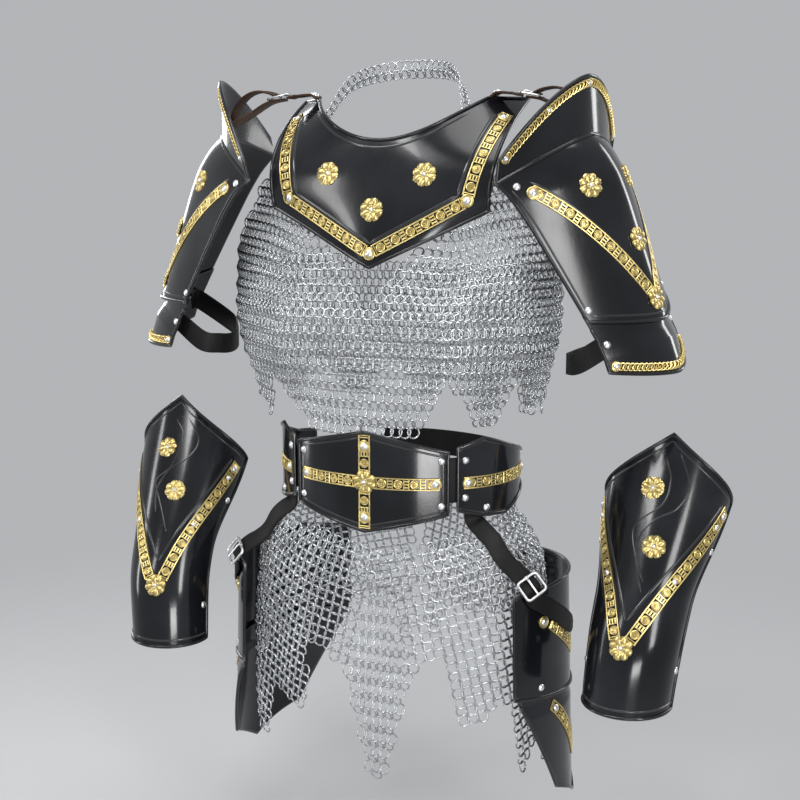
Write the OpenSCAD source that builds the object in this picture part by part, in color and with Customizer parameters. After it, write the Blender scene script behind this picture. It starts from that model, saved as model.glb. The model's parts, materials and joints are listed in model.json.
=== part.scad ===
// A woman's fantasy harness of ring mail and blackened plate: a mail top and a mail skirt,
// a gorget over the chest, a waist belt of hinged plates, two pauldrons that hang on straps,
// two tassets and a pair of bracers that stand beside the suit.
// The origin is on the wearer's upright axis at the middle of the belt. The front faces -Y,
// +Z is up and the wearer's left side is +X. The right side is the left one mirrored.

/* [Plate] */
// Thickness of the steel of every plate
plate_t = 1.6; // [1.2:0.1:2.4]
// Width of the pierced gold strips
strip_w = 13; // [9:0.5:16]
// Height of the gold strips above the steel
strip_t = 1.4; // [0.8:0.1:2.5]
// Width of the gold link chains along the free rims
chain_w = 9; // [6:0.5:12]
// Height of the gold link chains above the steel
chain_t = 2.6; // [1.5:0.1:4]
// Radius of a flower rosette
rosette_r = 12.5; // [7:0.5:14]
// Thickness of a flower rosette
rosette_t = 2.4; // [1.5:0.1:4]
// Radius of a rivet head
rivet_r = 4; // [2.5:0.25:5]
// Height of a rivet head
rivet_h = 2; // [1:0.25:3]
// Distance from a chained rim to the chain's middle line
rim_inset = 7; // [5.5:0.5:10]

/* [Leather] */
// Thickness of the leather straps
leather_t = 2.4; // [1.6:0.2:3.4]
// Width of the shoulder straps
shoulder_strap_w = 20; // [14:1:26]
// Width of the tasset straps
tasset_strap_w = 20; // [14:1:24]
// Width of the arm straps
arm_strap_w = 22; // [14:1:28]
// Width of the bracer straps
bracer_strap_w = 16; // [10:1:22]
// Width of the strap that closes the belt behind
back_strap_w = 30; // [20:1:38]
// Thickness of the buckle frames
buckle_t = 2.6; // [2:0.2:4]
// Width of the bars of the buckle frames
buckle_bar = 3; // [2:0.25:4]

/* [Fit] */
// Gap between soft mail or leather and the plate it lies against
seat_gap = 0.3; // [0.25:0.05:0.8]
// Gap between a buckle's frame and the leather that it turns on
buckle_gap = 0.95; // [0.5:0.05:0.95]
// Gap between two plates that slide over each other, beside their rivets
lame_gap = 0.6; // [0.4:0.1:1.2]
// Further gap between two sliding plates at their middle, where they move most
slide_gap = 3; // [1:0.25:4]

/* [Mail top] */
// Thickness of the mail, across its slanting rings
mail_t = 4; // [3:0.25:5]
// Half width of the mail top at the bust
bust_half = 187; // [175:1:196]
// How far each bust cup stands out of the chest
bust_out = 19; // [8:1:26]
// Height of the bust above the middle of the belt
bust_z = 172; // [155:1:190]
// Height of the lowest point of the V neckline
neck_v_z = 185; // [165:1:205]
// Height of the mail's top edge under the arms
armhole_z = 228; // [210:1:245]
// How far the mail hangs over to the wearer's right at both sides
top_sway = 6; // [0:0.5:8]
// Width of the halter of mail that goes round the neck
halter_w = 15; // [10:1:22]

/* [Gorget] */
// Height of the gorget's lower point
gorget_tip_z = 221; // [205:1:235]
// Rise of the lower edge from the point to the corners
gorget_rise = 58; // [40:1:70]
// Half width of the gorget at its lower corners
gorget_half = 118; // [105:1:124]
// Height of the neck opening's lowest point
neckline_z = 348.5; // [330:0.5:360]
// Height of the gorget's shoulder ends
shoulder_z = 391; // [380:1:400]
// How far the chest plate stands in front of the axis at corner height
gorget_front = 80.4; // [76:0.2:90]
// Depth of the gold strip inside the lower edge
gorget_strip_inset = 14; // [11:0.5:20]

/* [Belt] */
// Half width of the belt's outline, side to side
belt_a = 135; // [131:0.5:139]
// Half depth of the belt's outline, front to back
belt_b = 103; // [100:0.5:107]
// Half height of the front plate at its peak and its point
belt_peak = 53; // [44:1:60]
// Half height of the front plate at its ends
belt_end = 33; // [26:1:38]
// Angle from the front to the end of the front plate
front_end = 38.5; // [34:0.5:40]
// Angle from the front to the start of a side plate
side_start = 43.5; // [42:0.5:46]
// Angle from the front to the back end of a side plate
side_end = 115; // [108:1:120]
// Height of the leather hinges
hinge_h = 48; // [30:1:50]

/* [Skirt] */
// Half width of the mail skirt at the hips
hip_half = 172; // [165:1:176]
// Half depth of the mail skirt at the hips
hip_deep = 120; // [114:1:124]
// Angle by which the skirt hangs turned to the wearer's left
skirt_turn = 6.3; // [0:0.1:8]
// Height of the skirt's top edge at the hips
hip_tab_z = -14; // [-20:1:-8]
// Height of the front dagger's hem line
dagger_root_z = -198; // [-210:1:-185]
// Height of the dagger's tip
dagger_tip_z = -322; // [-340:1:-290]
// Depth of the skirt's hanging folds
fold_deep = 3; // [0:0.5:4]

/* [Pauldron] */
// Length of the ridge from the neck guard's tip to the cop's lower edge
ridge_len = 251; // [235:1:260]
// Half width of the cop at its top corners
cop_half = 105; // [95:1:110]
// Length of the ridge from the tip down to the cop's top
haute_len = 54; // [44:1:60]
// Distance along the ridge from the cop's lower edge to the lame's
lame_reach = 55; // [48:1:64]
// How much the tent shape of the plates falls away from the ridge
tent = 0.058; // [0.05:0.001:0.064]
// How far the pauldron is turned forward about its ridge
pauldron_turn = 20; // [16:1:24]

/* [Tasset] */
// How far the tassets' outline lies outside the skirt's at the sides
tasset_clear = 20; // [16:1:26]
// How far the tassets' outline lies outside the skirt's in front and behind
tasset_clear_front = 10; // [7:1:16]
// Angle from the front to the middle of a tasset
tasset_mid = 100; // [96:1:104]
// Half of the angle that a tasset covers
tasset_half = 46; // [40:1:48]
// Height of a tasset's top edge
tasset_top_z = -116; // [-124:1:-110]
// Height of the seam between its two plates
tasset_seam_z = -228; // [-236:1:-218]
// Height of its lower point
tasset_tip_z = -368; // [-385:1:-350]

/* [Bracer] */
// Radius of the bracer at the wrist
wrist_r = 45; // [41:0.5:48]
// Length of the bracer from the wrist rim to its tip
bracer_len = 268; // [250:1:276]
// Drop from the tip to the shoulders of the elbow end
bracer_drop = 66; // [50:1:75]
// Distance from the axis of the suit to the wrist's middle
bracer_x = 270; // [268:1:285]
// Height of the wrist rim
wrist_z = -222; // [-228:1:-215]

/* [Hidden] */
X = [1, 0, 0];
Y = [0, 1, 0];
Z = [0, 0, 1];
// Depth to which trims and rivet heads bed into the faceted steel
bed = 0.4;
// Number of sides of a rivet and of the lobes of a rosette
rivet_sides = 10;
petals = 8;

// Small maths shared by all pieces

function unit(v) = v / norm(v);
function mix(a, b, t) = a + (b - a) * t;
function steps(a, b, n) = [for (i = [0:n]) mix(a, b, i / n)];
// All places in a list of outline points, with more between them where they lie further apart than step
function spread(outline, step) =
    [for (i = [0:len(outline) - 2])
        let (a = outline[i][0], b = outline[i + 1][0], n = max(1, ceil((b - a) / step)))
        for (k = [0:n - 1]) mix(a, b, k / n)];
// The normal of a surface f(u, v), on the side from which u runs right and v runs up
function normal_at(f, u, v, du, dv) =
    unit(cross(f(u + du, v) - f(u - du, v), f(u, v + dv) - f(u, v - dv)));
// A point at a height above a surface
function above(f, u, v, h, du, dv) = f(u, v) + h * normal_at(f, u, v, du, dv);

// A wall of even thickness behind the surface f(u, v), closed into a ring where asked
module skin(f, us, vs, t, du, dv, ring = false) {
    nu = len(us);
    nv = len(vs);
    size = nu * nv;
    last = ring ? nu - 1 : nu - 2;
    outer = [for (v = vs) for (u = us) f(u, v)];
    inner = [for (v = vs) for (u = us) above(f, u, v, -t, du, dv)];
    at = function(i, j) j * nu + (i % nu);
    walls = [for (j = [0:nv - 2]) for (i = [0:last])
        let (a = at(i, j), b = at(i + 1, j), c = at(i + 1, j + 1), d = at(i, j + 1))
        each [[a, c, b], [a, d, c],
            [a + size, b + size, c + size], [a + size, c + size, d + size]]];
    rims = [for (i = [0:last])
        let (a = at(i, 0), b = at(i + 1, 0), c = at(i + 1, nv - 1), d = at(i, nv - 1))
        each [[a, b, b + size], [a, b + size, a + size],
            [c, d, d + size], [c, d + size, c + size]]];
    ends = ring ? [] : [for (j = [0:nv - 2])
        let (a = at(0, j), b = at(nu - 1, j), c = at(nu - 1, j + 1), d = at(0, j + 1))
        each [[d, a, a + size], [d, a + size, d + size],
            [b, c, c + size], [b, c + size, b + size]]];
    polyhedron(points = concat(outer, inner), faces = concat(walls, rims, ends), convexity = 10);
}

// A solid through a row of loops of points
module loft(loops) {
    n = len(loops);
    m = len(loops[0]);
    points = [for (loop = loops) each loop];
    sides = [for (i = [0:n - 2]) for (k = [0:m - 1])
        let (a = i * m + k, b = i * m + (k + 1) % m, c = b + m, d = a + m)
        each [[a, d, c], [a, c, b]]];
    caps = [for (k = [1:m - 2]) each [[0, k, k + 1],
        [(n - 1) * m, (n - 1) * m + k + 1, (n - 1) * m + k]]];
    polyhedron(points = points, faces = concat(sides, caps), convexity = 10);
}

// The direction of a path at its point i
function heading(points, i) =
    unit(points[min(i + 1, len(points) - 1)] - points[max(i - 1, 0)]);

// A flat band along points, with a normal at each, from low to high along the normals
module band(points, normals, width, low, high, end = 1) {
    last = len(points) - 1;
    loft([for (i = [0:last])
        let (p = points[i], n = normals[i], w = i == last ? width * end : width,
            s = unit(cross(n, heading(points, i))) * w / 2)
        [p - s + low * n, p + s + low * n, p + s + high * n, p - s + high * n]]);
}

// A strap along points whose width lies along one direction, with a narrower end where asked
module strap(points, across, width, t, end = 1) {
    normals = [for (i = [0:len(points) - 1]) unit(cross(heading(points, i), across))];
    band(points, normals, width, -t / 2, t / 2, end);
}

// A band laid on a surface along a path(t) of surface places, t from 0 to 1
module laid_band(f, path, n, width, low, high, du, dv) {
    at = [for (t = steps(0, 1, n)) path(t)];
    band([for (p = at) f(p[0], p[1])], [for (p = at) normal_at(f, p[0], p[1], du, dv)],
        width, low, high);
}

// Places its child at a point with its +Z along a direction
module facing(p, n) {
    translate(p)
        rotate([0, acos(n[2] / norm(n)), atan2(n[1], n[0])])
            children();
}

// A rivet through a plate whose outer face is at z = 0
module rivet(r = rivet_r) {
    translate([0, 0, -plate_t])
        cylinder(h = plate_t + bed, r = r / 2, $fn = rivet_sides);
    cylinder(h = rivet_h, r1 = r, r2 = r * 0.55, $fn = rivet_sides);
}

// A rivet on the surface f at (u, v)
module rivet_on(f, u, v, du, dv) {
    facing(f(u, v), normal_at(f, u, v, du, dv)) rivet();
}

// A flower rosette with a round edge of petals
module rosette() {
    translate([0, 0, -bed])
        linear_extrude(rosette_t + bed)
            polygon([for (a = [0:360 / (petals * 4):359.9])
                rosette_r * (1 - 0.09 * (1 - cos(petals * a)) / 2) * [cos(a), sin(a)]]);
}

module rosette_on(f, u, v, du, dv) {
    facing(f(u, v), normal_at(f, u, v, du, dv)) rosette();
}

// A rectangular buckle frame with its tongue, the strap's way along X and the face up
module buckle(strap_w) {
    w = strap_w + 2 * buckle_bar + 2;
    l = strap_w * 0.9 + 2 * buckle_bar;
    linear_extrude(buckle_t)
        difference() {
            square([l, w], center = true);
            square([l - 2 * buckle_bar, w - 2 * buckle_bar], center = true);
        }
    translate([0, 0, buckle_t - bed])
        linear_extrude(buckle_bar / 2 + bed)
            square([l, buckle_bar * 0.7], center = true);
}

// Draws a left hand piece, or mirrors it for the right
module on_side(side) {
    if (side == "left") children();
    else mirror([1, 0, 0]) children();
}

// The gorget

// Rows of how the chest plate falls back with height and with distance from the middle
gorget_lean = [21.2, 12.5];
gorget_round = [13.4, -44.6, 72.1];
neck_curve = 0.005;
gorget_fan = 0.09;

function gorget_at(x, z) =
    let (s = (z - gorget_tip_z - gorget_rise - 1) / 100, q = (x / 100) ^ 2)
    [x, -gorget_front + gorget_lean[0] * s + gorget_lean[1] * s * s
        + q * (gorget_round[0] + gorget_round[1] * s + gorget_round[2] * s * s), z];
function gorget_side(z) = gorget_half + gorget_fan * max(0, z - gorget_tip_z - gorget_rise);
function gorget_low(u) = gorget_tip_z + gorget_rise * abs(u);
function gorget_high(u) =
    min(shoulder_z, neckline_z + neck_curve * (gorget_side(neckline_z) * u) ^ 2);
function gorget_f(u, v) =
    let (z = mix(gorget_low(u), gorget_high(u), v)) gorget_at(gorget_side(z) * u, z);
gorget_du = 0.01;
// The corners of the strip's path, as distances from the middle and heights
gorget_corner = [gorget_half - 20, gorget_tip_z + gorget_rise + 10];
gorget_point = [0, gorget_tip_z + gorget_strip_inset];
gorget_top = [gorget_half, shoulder_z - 17];
gorget_xz = function(x, z) gorget_at(x, z);

module gorget_plate() {
    color("#15161a")
        skin(function(u, v) gorget_f(u, v), steps(-1, 1, 24), steps(0, 1, 7), plate_t,
            gorget_du, gorget_du);
}

module gorget_band(a, b, n) {
    laid_band(gorget_xz, function(t) mix(a, b, t), n, strip_w, -bed, strip_t, 1, 1);
}

module gorget_trim() {
    // Where the strips end, clear of the corner rivet's neighbour
    miter = strip_w * 0.35;
    way_in = unit(gorget_point - gorget_corner);
    way_up = unit(gorget_top - gorget_corner);
    color("goldenrod") {
        for (side = [-1, 1])
            scale_x(side) {
                gorget_band(gorget_corner + way_in * miter, gorget_point - way_in * strip_w * 0.4, 6);
                gorget_band(gorget_corner + way_up * miter, gorget_top, 6);
            }
        for (p = [[-53, 314.4], [53, 314.4], [0, 279]])
            facing(gorget_at(p[0], p[1]), normal_at(gorget_xz, p[0], p[1], 1, 1)) rosette();
    }
}

// Mirrors its child for a side of -1
module scale_x(side) {
    if (side > 0) children();
    else mirror([1, 0, 0]) children();
}

module gorget_rivets() {
    color("silver")
        for (p = [gorget_point, gorget_corner, [-gorget_corner[0], gorget_corner[1]],
                gorget_top - [2, 3], [-gorget_top[0] + 2, gorget_top[1] - 3]])
            facing(above(gorget_xz, p[0], p[1], strip_t * 0.6, 1, 1),
                normal_at(gorget_xz, p[0], p[1], 1, 1)) rivet();
}

// The mail top

// Half width and half depth of the hanging mail, by height
top_wide = [[20, bust_half - 27], [50, bust_half - 23], [100, bust_half - 13], [170, bust_half],
    [238, bust_half], [280, bust_half - 9], [330, bust_half - 27]];
belt_in = plate_t + seat_gap;
top_deep = [[20, belt_b - belt_in - 0.4], [53, belt_b - belt_in - 0.4], [110, belt_b + 2],
    [165, belt_b + 5], [185, belt_b - 1], [215, belt_b - 16], [246, belt_b - 31], [290, belt_b - 35],
    [330, belt_b - 45]];
back_deep = [[20, 90], [170, 100], [330, 80]];
// How flat the front is where it is tucked behind the belt
top_flat = [[53, 1.7], [130, 1], [400, 1]];
top_edge = [[0, neck_v_z], [7.5, neck_v_z + 31], [16, neck_v_z + 62], [24, neck_v_z + 92],
    [33, 318], [42, 320], [54, 312], [60, 281], [74, 238], [90, armhole_z], [180, armhole_z - 12]];
top_hem = [[-180, 55], [-165, 105], [-150, 50], [-135, 105], [-120, 52], [-105, 106], [-90, 60],
    [-75, 104], [-58, 49], [-43, 106], [-20, 46], [16, 46], [31, 118], [46, 51], [62, 119],
    [75, 62], [85, 114], [98, 60], [112, 106], [126, 52], [140, 105], [153, 50], [167, 105], [180, 55]];
bust_x = 85;
bust_wide = 38;
bust_rise = 44;
bust_fall = 70;

function bell(t, s) = exp(-(t / s) ^ 2);
function bust(x, z) =
    bust_out * bell(abs(x) - bust_x, bust_wide) * bell(z - bust_z, z > bust_z ? bust_rise : bust_fall);
function top_at(a, z) =
    let (x = lookup(z, top_wide) * sin(a) - top_sway * sin(a) ^ 2, c = cos(a))
    [x, c > 0 ? -lookup(z, top_deep) * c ^ lookup(z, top_flat) - bust(x, z) : -lookup(z, back_deep) * c, z];
function wrap(a) = a > 180 ? a - 360 : a < -180 ? a + 360 : a;
function top_f(a, v) =
    top_at(a, mix(lookup(wrap(a), top_hem), lookup(abs(wrap(a)), top_edge), v));

module mail_top() {
    color("lightgray")
        skin(function(u, v) top_f(u, v), spread(top_hem, 9.5), steps(0, 1, 8), mail_t, 0.5, 0.01,
            ring = true);
}

// The halter that carries the mail top round the neck, over the gorget's neck rim
halter = [[96, -42, 322], [87, -27, 348], [76, -9, 376], [68, 5, 396], [59, 21, 410], [42, 44, 419],
    [22, 57, 423], [0, 61, 424]];

module neck_mail() {
    right = [for (i = [len(halter) - 2:-1:0]) [-halter[i][0], halter[i][1], halter[i][2]]];
    points = concat(halter, right);
    out = [for (p = points) unit([p[0], p[1] - 5, 25])];
    color("lightgray") band(points, out, halter_w, -mail_t / 2, mail_t / 2);
}

// The belt

function belt_at(a, z, out = 0) = [(belt_a + out) * sin(a), -(belt_b + out) * cos(a), z];
function front_high(a) = mix(belt_peak, belt_end, abs(a) / front_end);
front_f = function(a, v) belt_at(a, mix(-front_high(a), front_high(a), v));
side_high = [[side_start, belt_end + 4], [58, belt_end + 13], [100, 20], [side_end, 17]];
side_low = [[side_start, 4 - belt_end], [57, -belt_end - 3], [74, -belt_end - 5], [102, -20], [side_end, -17]];
side_f = function(a, v) belt_at(a, mix(lookup(a, side_low), lookup(a, side_high), v));
belt_f = function(a, z) belt_at(a, z);

module belt_front_plate() {
    color("#15161a") skin(front_f, steps(-front_end, front_end, 14), steps(0, 1, 3), plate_t, 0.5, 0.02);
}

module belt_cross() {
    color("goldenrod") {
        for (end = [-front_end + 4, front_end - 4])
            laid_band(belt_f, function(t) mix([end > 0 ? end : -6, 0], [end > 0 ? 6 : end, 0], t), 6,
                strip_w, -bed, strip_t, 0.5, 1);
        for (end = [-1, 1])
            laid_band(belt_f, function(t) [0, end > 0 ? mix(12, belt_peak - 3, t) : mix(3 - belt_peak, -12, t)],
                3, strip_w, -bed, strip_t, 0.5, 1);
        rosette_on(belt_f, 0, 0, 0.5, 1);
    }
}

module belt_rivets() {
    ends = [-front_end + 3, front_end - 3];
    color("silver") {
        for (a = ends) {
            for (z = [-1, 1] * (belt_end - 9))
                rivet_on(belt_f, a, z, 0.5, 1);
            facing(belt_at(a + (a > 0 ? -3 : 3), 0, strip_t * 0.6), belt_at(a, 0)) rivet();
        }
        for (z = [-1, 1] * (belt_peak - 15))
            facing(belt_at(0, z, strip_t * 0.6), -Y) rivet();
    }
}

module belt_side_plate(side) {
    color("#15161a")
        on_side(side)
            skin(side_f, concat([side_start], steps(side_start + 4, side_end, 11)), steps(0, 1, 3),
                plate_t, 0.5, 0.02);
}

module belt_side_trim(side) {
    color("goldenrod")
        on_side(side)
            laid_band(belt_f, function(t) [mix(side_start + 3, side_end - 12, t), 0], 10, strip_w, -bed,
                strip_t, 0.5, 1);
}

module belt_side_rivets(side) {
    color("silver")
        on_side(side) {
            for (z = [24, -16])
                rivet_on(belt_f, side_start + 4, z, 0.5, 1);
            rivet_on(belt_f, 60, -belt_end + 4, 0.5, 1);
            for (a = [side_start + 5.5, side_end - 14])
                facing(belt_at(a, 0, strip_t * 0.6), belt_at(a, 0)) rivet();
            for (z = [-11, 11])
                rivet_on(belt_f, side_end - 4, z, 0.5, 1);
        }
}

// The leather hinges behind the gaps between the front plate and the side plates
module belt_hinges() {
    in = -plate_t - seat_gap - leather_t / 2;
    color("#2a1a12")
        for (side = ["left", "right"])
            on_side(side)
                strap([for (a = steps(front_end - 5, side_start + 6, 5)) belt_at(a, 3, in)], Z,
                    hinge_h, leather_t);
}

// The strap that closes the belt behind runs through the buckle on the right side plate
back_buckle_a = 150;

module belt_back_strap() {
    start = side_end - 8;
    n = 16;
    out = [for (i = [0:n]) mix(-plate_t - seat_gap - leather_t / 2, 0, min(1, max(0, i - 1.4) / 3))];
    color("#2a1a12")
        strap([for (i = [0:n]) belt_at(mix(start, 360 - back_buckle_a - 3, i / n), 0, out[i])], Z,
            back_strap_w, leather_t);
}

module belt_back_buckle() {
    a = 360 - back_buckle_a;
    here = belt_at(a, 0, leather_t / 2 + seat_gap);
    way = unit([belt_b * here[0] / belt_a, belt_a * here[1] / belt_b, 0]);
    n = 10;
    out = [for (i = [0:n]) mix(-plate_t - seat_gap - leather_t / 2, 0, min(1, max(0, n - 2.4 - i) / 3))];
    tab = [for (i = [0:n]) belt_at(mix(a + 3, 360 - side_end + 8, i / n), 0, out[i])];
    color("silver") {
        facing(here, way) rotate([0, 0, 90]) buckle(back_strap_w);
        strap(tab, Z, back_strap_w * 0.5, leather_t);
    }
}

// The mail skirt

skirt_wide = [[-330, hip_half], [-200, hip_half], [-100, hip_half - 7], [-80, hip_half - 15],
    [-60, hip_half - 28], [-46, belt_a - belt_in - 1], [0, belt_a - belt_in - 0.4]];
skirt_deep = [[-330, hip_deep + 1], [-200, hip_deep], [-120, hip_deep - 5], [-72, hip_deep - 12],
    [-46, belt_b - belt_in - 1], [0, belt_b - belt_in - 0.4]];
// Angles here are counted from the skirt's own middle
skirt_edge = [[0, hip_tab_z - 57], [20, hip_tab_z - 48], [36, hip_tab_z - 38], [42, hip_tab_z - 41],
    [64, hip_tab_z - 41], [67, hip_tab_z - 33], [73, hip_tab_z - 12], [90, hip_tab_z], [105, hip_tab_z - 10],
    [125, hip_tab_z - 28], [150, hip_tab_z - 46], [180, hip_tab_z - 57]];
skirt_hem = [[-180, -270], [-168, -200], [-150, -205], [-130.5, -185], [-128, -262], [-110, -225],
    [-91, -237], [-76, -238], [-67, -295], [-62.5, -324], [-54, -245], [-31.5, -257], [-29, -177],
    [-12, dagger_root_z + 1], [12, dagger_root_z + 1], [26, -178], [28.5, -188], [31, -260], [48, -243],
    [57.5, -240], [63.5, -324], [67, -316], [81, -283], [85, -325], [98, -235], [110, -225], [128, -262],
    [130.5, -185], [150, -205], [168, -200], [180, -270]];
folds = 9;

function skirt_at(a, z, in = 0) =
    let (w = lookup(z, skirt_wide) - in, d = lookup(z, skirt_deep) - in,
        f = fold_deep * sin(a * folds) * min(1, max(0, -60 - z) / 120),
        b = a + skirt_turn)
    [(w + f) * sin(b), -(d + f) * cos(b), z];
// The rows up to skirt_bend hang free, those above it are tucked behind the belt
skirt_bend = 0.8;
function skirt_f(a, v) =
    let (low = lookup(wrap(a), skirt_hem), high = lookup(abs(wrap(a)), skirt_edge), mid = min(high - 5, -46))
    skirt_at(a, v < skirt_bend ? mix(low, mid, v / skirt_bend)
        : mix(mid, high, (v - skirt_bend) / (1 - skirt_bend)));

module mail_skirt() {
    color("lightgray")
        skin(function(u, v) skirt_f(u, v), spread(skirt_hem, 9.5),
            concat(steps(0, skirt_bend, 6), [0.9, 1]), mail_t, 0.5, 0.01,
            ring = true);
}

// The dagger hangs from its top rows, which lie behind the skirt's hem
dagger_half = 11.5;
dagger_lap = 9;

function dagger_f(u, v) =
    let (z = mix(dagger_tip_z, dagger_root_z + dagger_lap, v),
        half = max(1.2, dagger_half * min(1, (z - dagger_tip_z) / (dagger_root_z - dagger_tip_z))))
    skirt_at(u * half, z, mail_t + seat_gap + 0.5);

module skirt_dagger() {
    color("lightgray")
        skin(function(u, v) dagger_f(u, v), steps(-1, 1, 4), steps(0, 1, 9), mail_t, 0.05, 0.01);
}

// The pauldrons, drawn in a frame of their own: down the ridge, outward, and from front to back

ridge_top = [205, -13, 411];
ridge_low = [280, -13, 195];
down = unit(ridge_low - ridge_top);
side_way = [-down[2], 0, down[0]];
out_way = cos(pauldron_turn) * side_way - sin(pauldron_turn) * Y;
back_way = sin(pauldron_turn) * side_way + cos(pauldron_turn) * Y;
ridge_off = -2;
cop_taper = 0.196;
cop_corner = 20;
ridge_dip = [[haute_len - 14, -27], [haute_len, -18], [haute_len + 12, -11], [haute_len + 26, -6],
    [haute_len + 48, -1.5], [haute_len + 80, 0], [400, 0]];

function on_shoulder(a, o, d) = ridge_top + a * down + o * out_way + d * back_way;
function cop_side(a) = cop_half - cop_taper * (a - haute_len - cop_corner);
function tent_at(q) = tent * q ^ 1.5;
function cop_low(u) = ridge_len - 21 * abs(u) ^ 1.5;
function cop_high(u) = haute_len + cop_corner * abs(u) ^ 1.3;
function cop_at(a, u, in = 0) =
    let (q = abs(u) * cop_side(a))
    on_shoulder(a, lookup(a, ridge_dip) - tent_at(q) - in, ridge_off + u * cop_side(a));
cop_f = function(u, v) cop_at(mix(cop_low(u), cop_high(u), v), u);
cop_au = function(u, a) cop_at(-a, u);
cop_columns = [-1, -0.82, -0.64, -0.47, -0.32, -0.19, -0.09, 0, 0.09, 0.19, 0.32, 0.47, 0.64, 0.82, 1];

module pauldron_cop(side) {
    color("#15161a")
        on_side(side) skin(cop_f, cop_columns, steps(0, 1, 9), plate_t, 0.01, 0.01);
}

// The neck guard stands on the cop's top edge
haute_bed = 0.6;
haute_rim_drop = 56;
haute_rim_in = 58;

function haute_at(u, w) =
    let (a0 = cop_high(u) + haute_bed, q = abs(u) * cop_side(a0),
        base = [a0, lookup(a0, ridge_dip) - tent_at(q)],
        rim = [haute_rim_drop * abs(u) ^ 1.75, -haute_rim_in * abs(u) ^ 1.6],
        p = mix(base, rim, w))
    on_shoulder(p[0], p[1], ridge_off + u * cop_side(a0));
haute_f = function(u, w) haute_at(u, w);

module haute_piece(side) {
    color("#15161a")
        on_side(side) skin(haute_f, cop_columns, [0, 0.5, 1], plate_t, 0.01, 0.01);
}

// The chain lies a fixed distance inside the rim
function rim_share(u) = 1 - rim_inset / norm(haute_at(u, 1) - haute_at(u, 0));
strip_start = [0.83, 92];
strip_apex = [0, ridge_len - 22];

module pauldron_trim(side) {
    color("goldenrod")
        on_side(side) {
            for (hand = [-1, 1])
                laid_band(cop_au, function(t) [hand * mix(strip_start[0], 0.09, t),
                    -mix(strip_start[1], strip_apex[1] - 8, t)], 10, strip_w, -bed - 0.4, strip_t, 0.01, 1);
            laid_band(haute_f, function(t) let (u = mix(-0.93, 0.93, t)) [u, rim_share(u)], 20, chain_w,
                -bed, chain_t, 0.01, 0.02);
            rosette_on(cop_au, 0, -strip_apex[1], 0.01, 1);
            rosette_on(cop_au, 0, 83 - ridge_len, 0.01, 1);
            for (hand = [-1, 1])
                rosette_on(cop_au, hand * 0.35, -104, 0.01, 1);
        }
}

module pauldron_rivets(side) {
    color("silver")
        on_side(side) {
            for (hand = [-1, 1]) {
                rivet_on(cop_au, hand * 0.9, -84, 0.01, 1);
                rivet_on(cop_au, hand * 0.93, 31 - ridge_len, 0.01, 1);
                facing(above(cop_au, hand * strip_start[0], -strip_start[1] - 3, strip_t * 0.6, 0.01, 1),
                    normal_at(cop_au, hand * strip_start[0], -strip_start[1], 0.01, 1)) rivet();
            }
            for (u = [-0.93, -0.5, 0, 0.58, 0.93])
                facing(above(haute_f, u, rim_share(u), chain_t * 0.5, 0.01, 0.02),
                    normal_at(haute_f, u, rim_share(u), 0.01, 0.02)) rivet();
        }
}

// The lame hangs inside the cop's lower edge on a rivet at each end
lame_end = ridge_len + lame_reach;
lame_lap = 8;
// Share of the sideways step between the plates that is left at a distance down the ridge
lame_step = [[ridge_len + 5, 1], [ridge_len + 20, 0], [400, 0]];

function slide_in(u) = plate_t + lame_gap + slide_gap * (1 - abs(u));
function lame_side(a) = cop_side(min(a, ridge_len)) - 1;

function lame_end_at(u) = lame_end - 22 * abs(u) ^ 1.5;
function lame_at(a, u) =
    let (q = abs(u) * lame_side(a), in = slide_in(u) * lookup(a, lame_step) + 0.6 * abs(u))
    on_shoulder(a, -tent_at(q) - in, ridge_off + u * lame_side(a));
lame_f = function(u, v) lame_at(mix(lame_end_at(u), cop_low(u) - lame_lap, v), u);
lame_au = function(u, a) lame_at(-a, u);

module lame(side) {
    color("#15161a")
        on_side(side) skin(lame_f, cop_columns, [0, 0.25, 0.5, 0.72, 0.86, 1], plate_t, 0.01, 0.01);
}

module lame_trim(side) {
    color("goldenrod")
        on_side(side)
            laid_band(lame_au, function(t) let (u = mix(-0.93, 0.93, t)) [u, -lame_end_at(u) + rim_inset], 14,
                chain_w, -bed, chain_t, 0.01, 1);
}

module lame_rivets(side) {
    color("silver")
        on_side(side)
            for (u = [-0.9, 0.9]) {
                rivet_on(lame_au, u, -lame_end_at(u) + 30, 0.01, 1);
                facing(above(lame_au, u, -lame_end_at(u) + rim_inset, chain_t * 0.5, 0.01, 1),
                    normal_at(lame_au, u, -lame_end_at(u) + rim_inset, 0.01, 1)) rivet();
            }
}

// Distance from the bust's side to the inner stretch of the arm strap
arm_clear = 8;

// The strap that holds the lame to the upper arm
module arm_strap(side) {
    high = lame_end_at(0.9) - 30;
    in = plate_t + seat_gap + leather_t / 2 + arm_strap_w * 0.19;
    front = above(lame_au, 0.86, -high, -in, 0.01, 1);
    rear = above(lame_au, -0.86, -high, -in, 0.01, 1);
    front_in = above(lame_au, 0.7, -high, -in, 0.01, 1);
    rear_in = above(lame_au, -0.7, -high, -in, 0.01, 1);
    near = bust_half + arm_clear;
    loop = [rear_in, rear, [near + 17, -58, 131], [near + 3, -44, 127], [near, -24, 125], [near + 5, 0, 126],
        [near + 17, 24, 129], [near + 37, 48, 137], front, front_in];
    color("#1b1b1d")
        on_side(side) strap(loop, Z, arm_strap_w, leather_t);
}

// The shoulder straps: a short one from the gorget to the buckle, a long one from the pauldron

buckle_at = [142, 6, 391];
buckle_tilt = 12;
gorget_strap_end = [gorget_half - 19, 12, shoulder_z + 2];
// A place under the buckle, on the leather that runs through it
function under_buckle(x) = buckle_at + [x, 0, -x * tan(buckle_tilt)];

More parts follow.
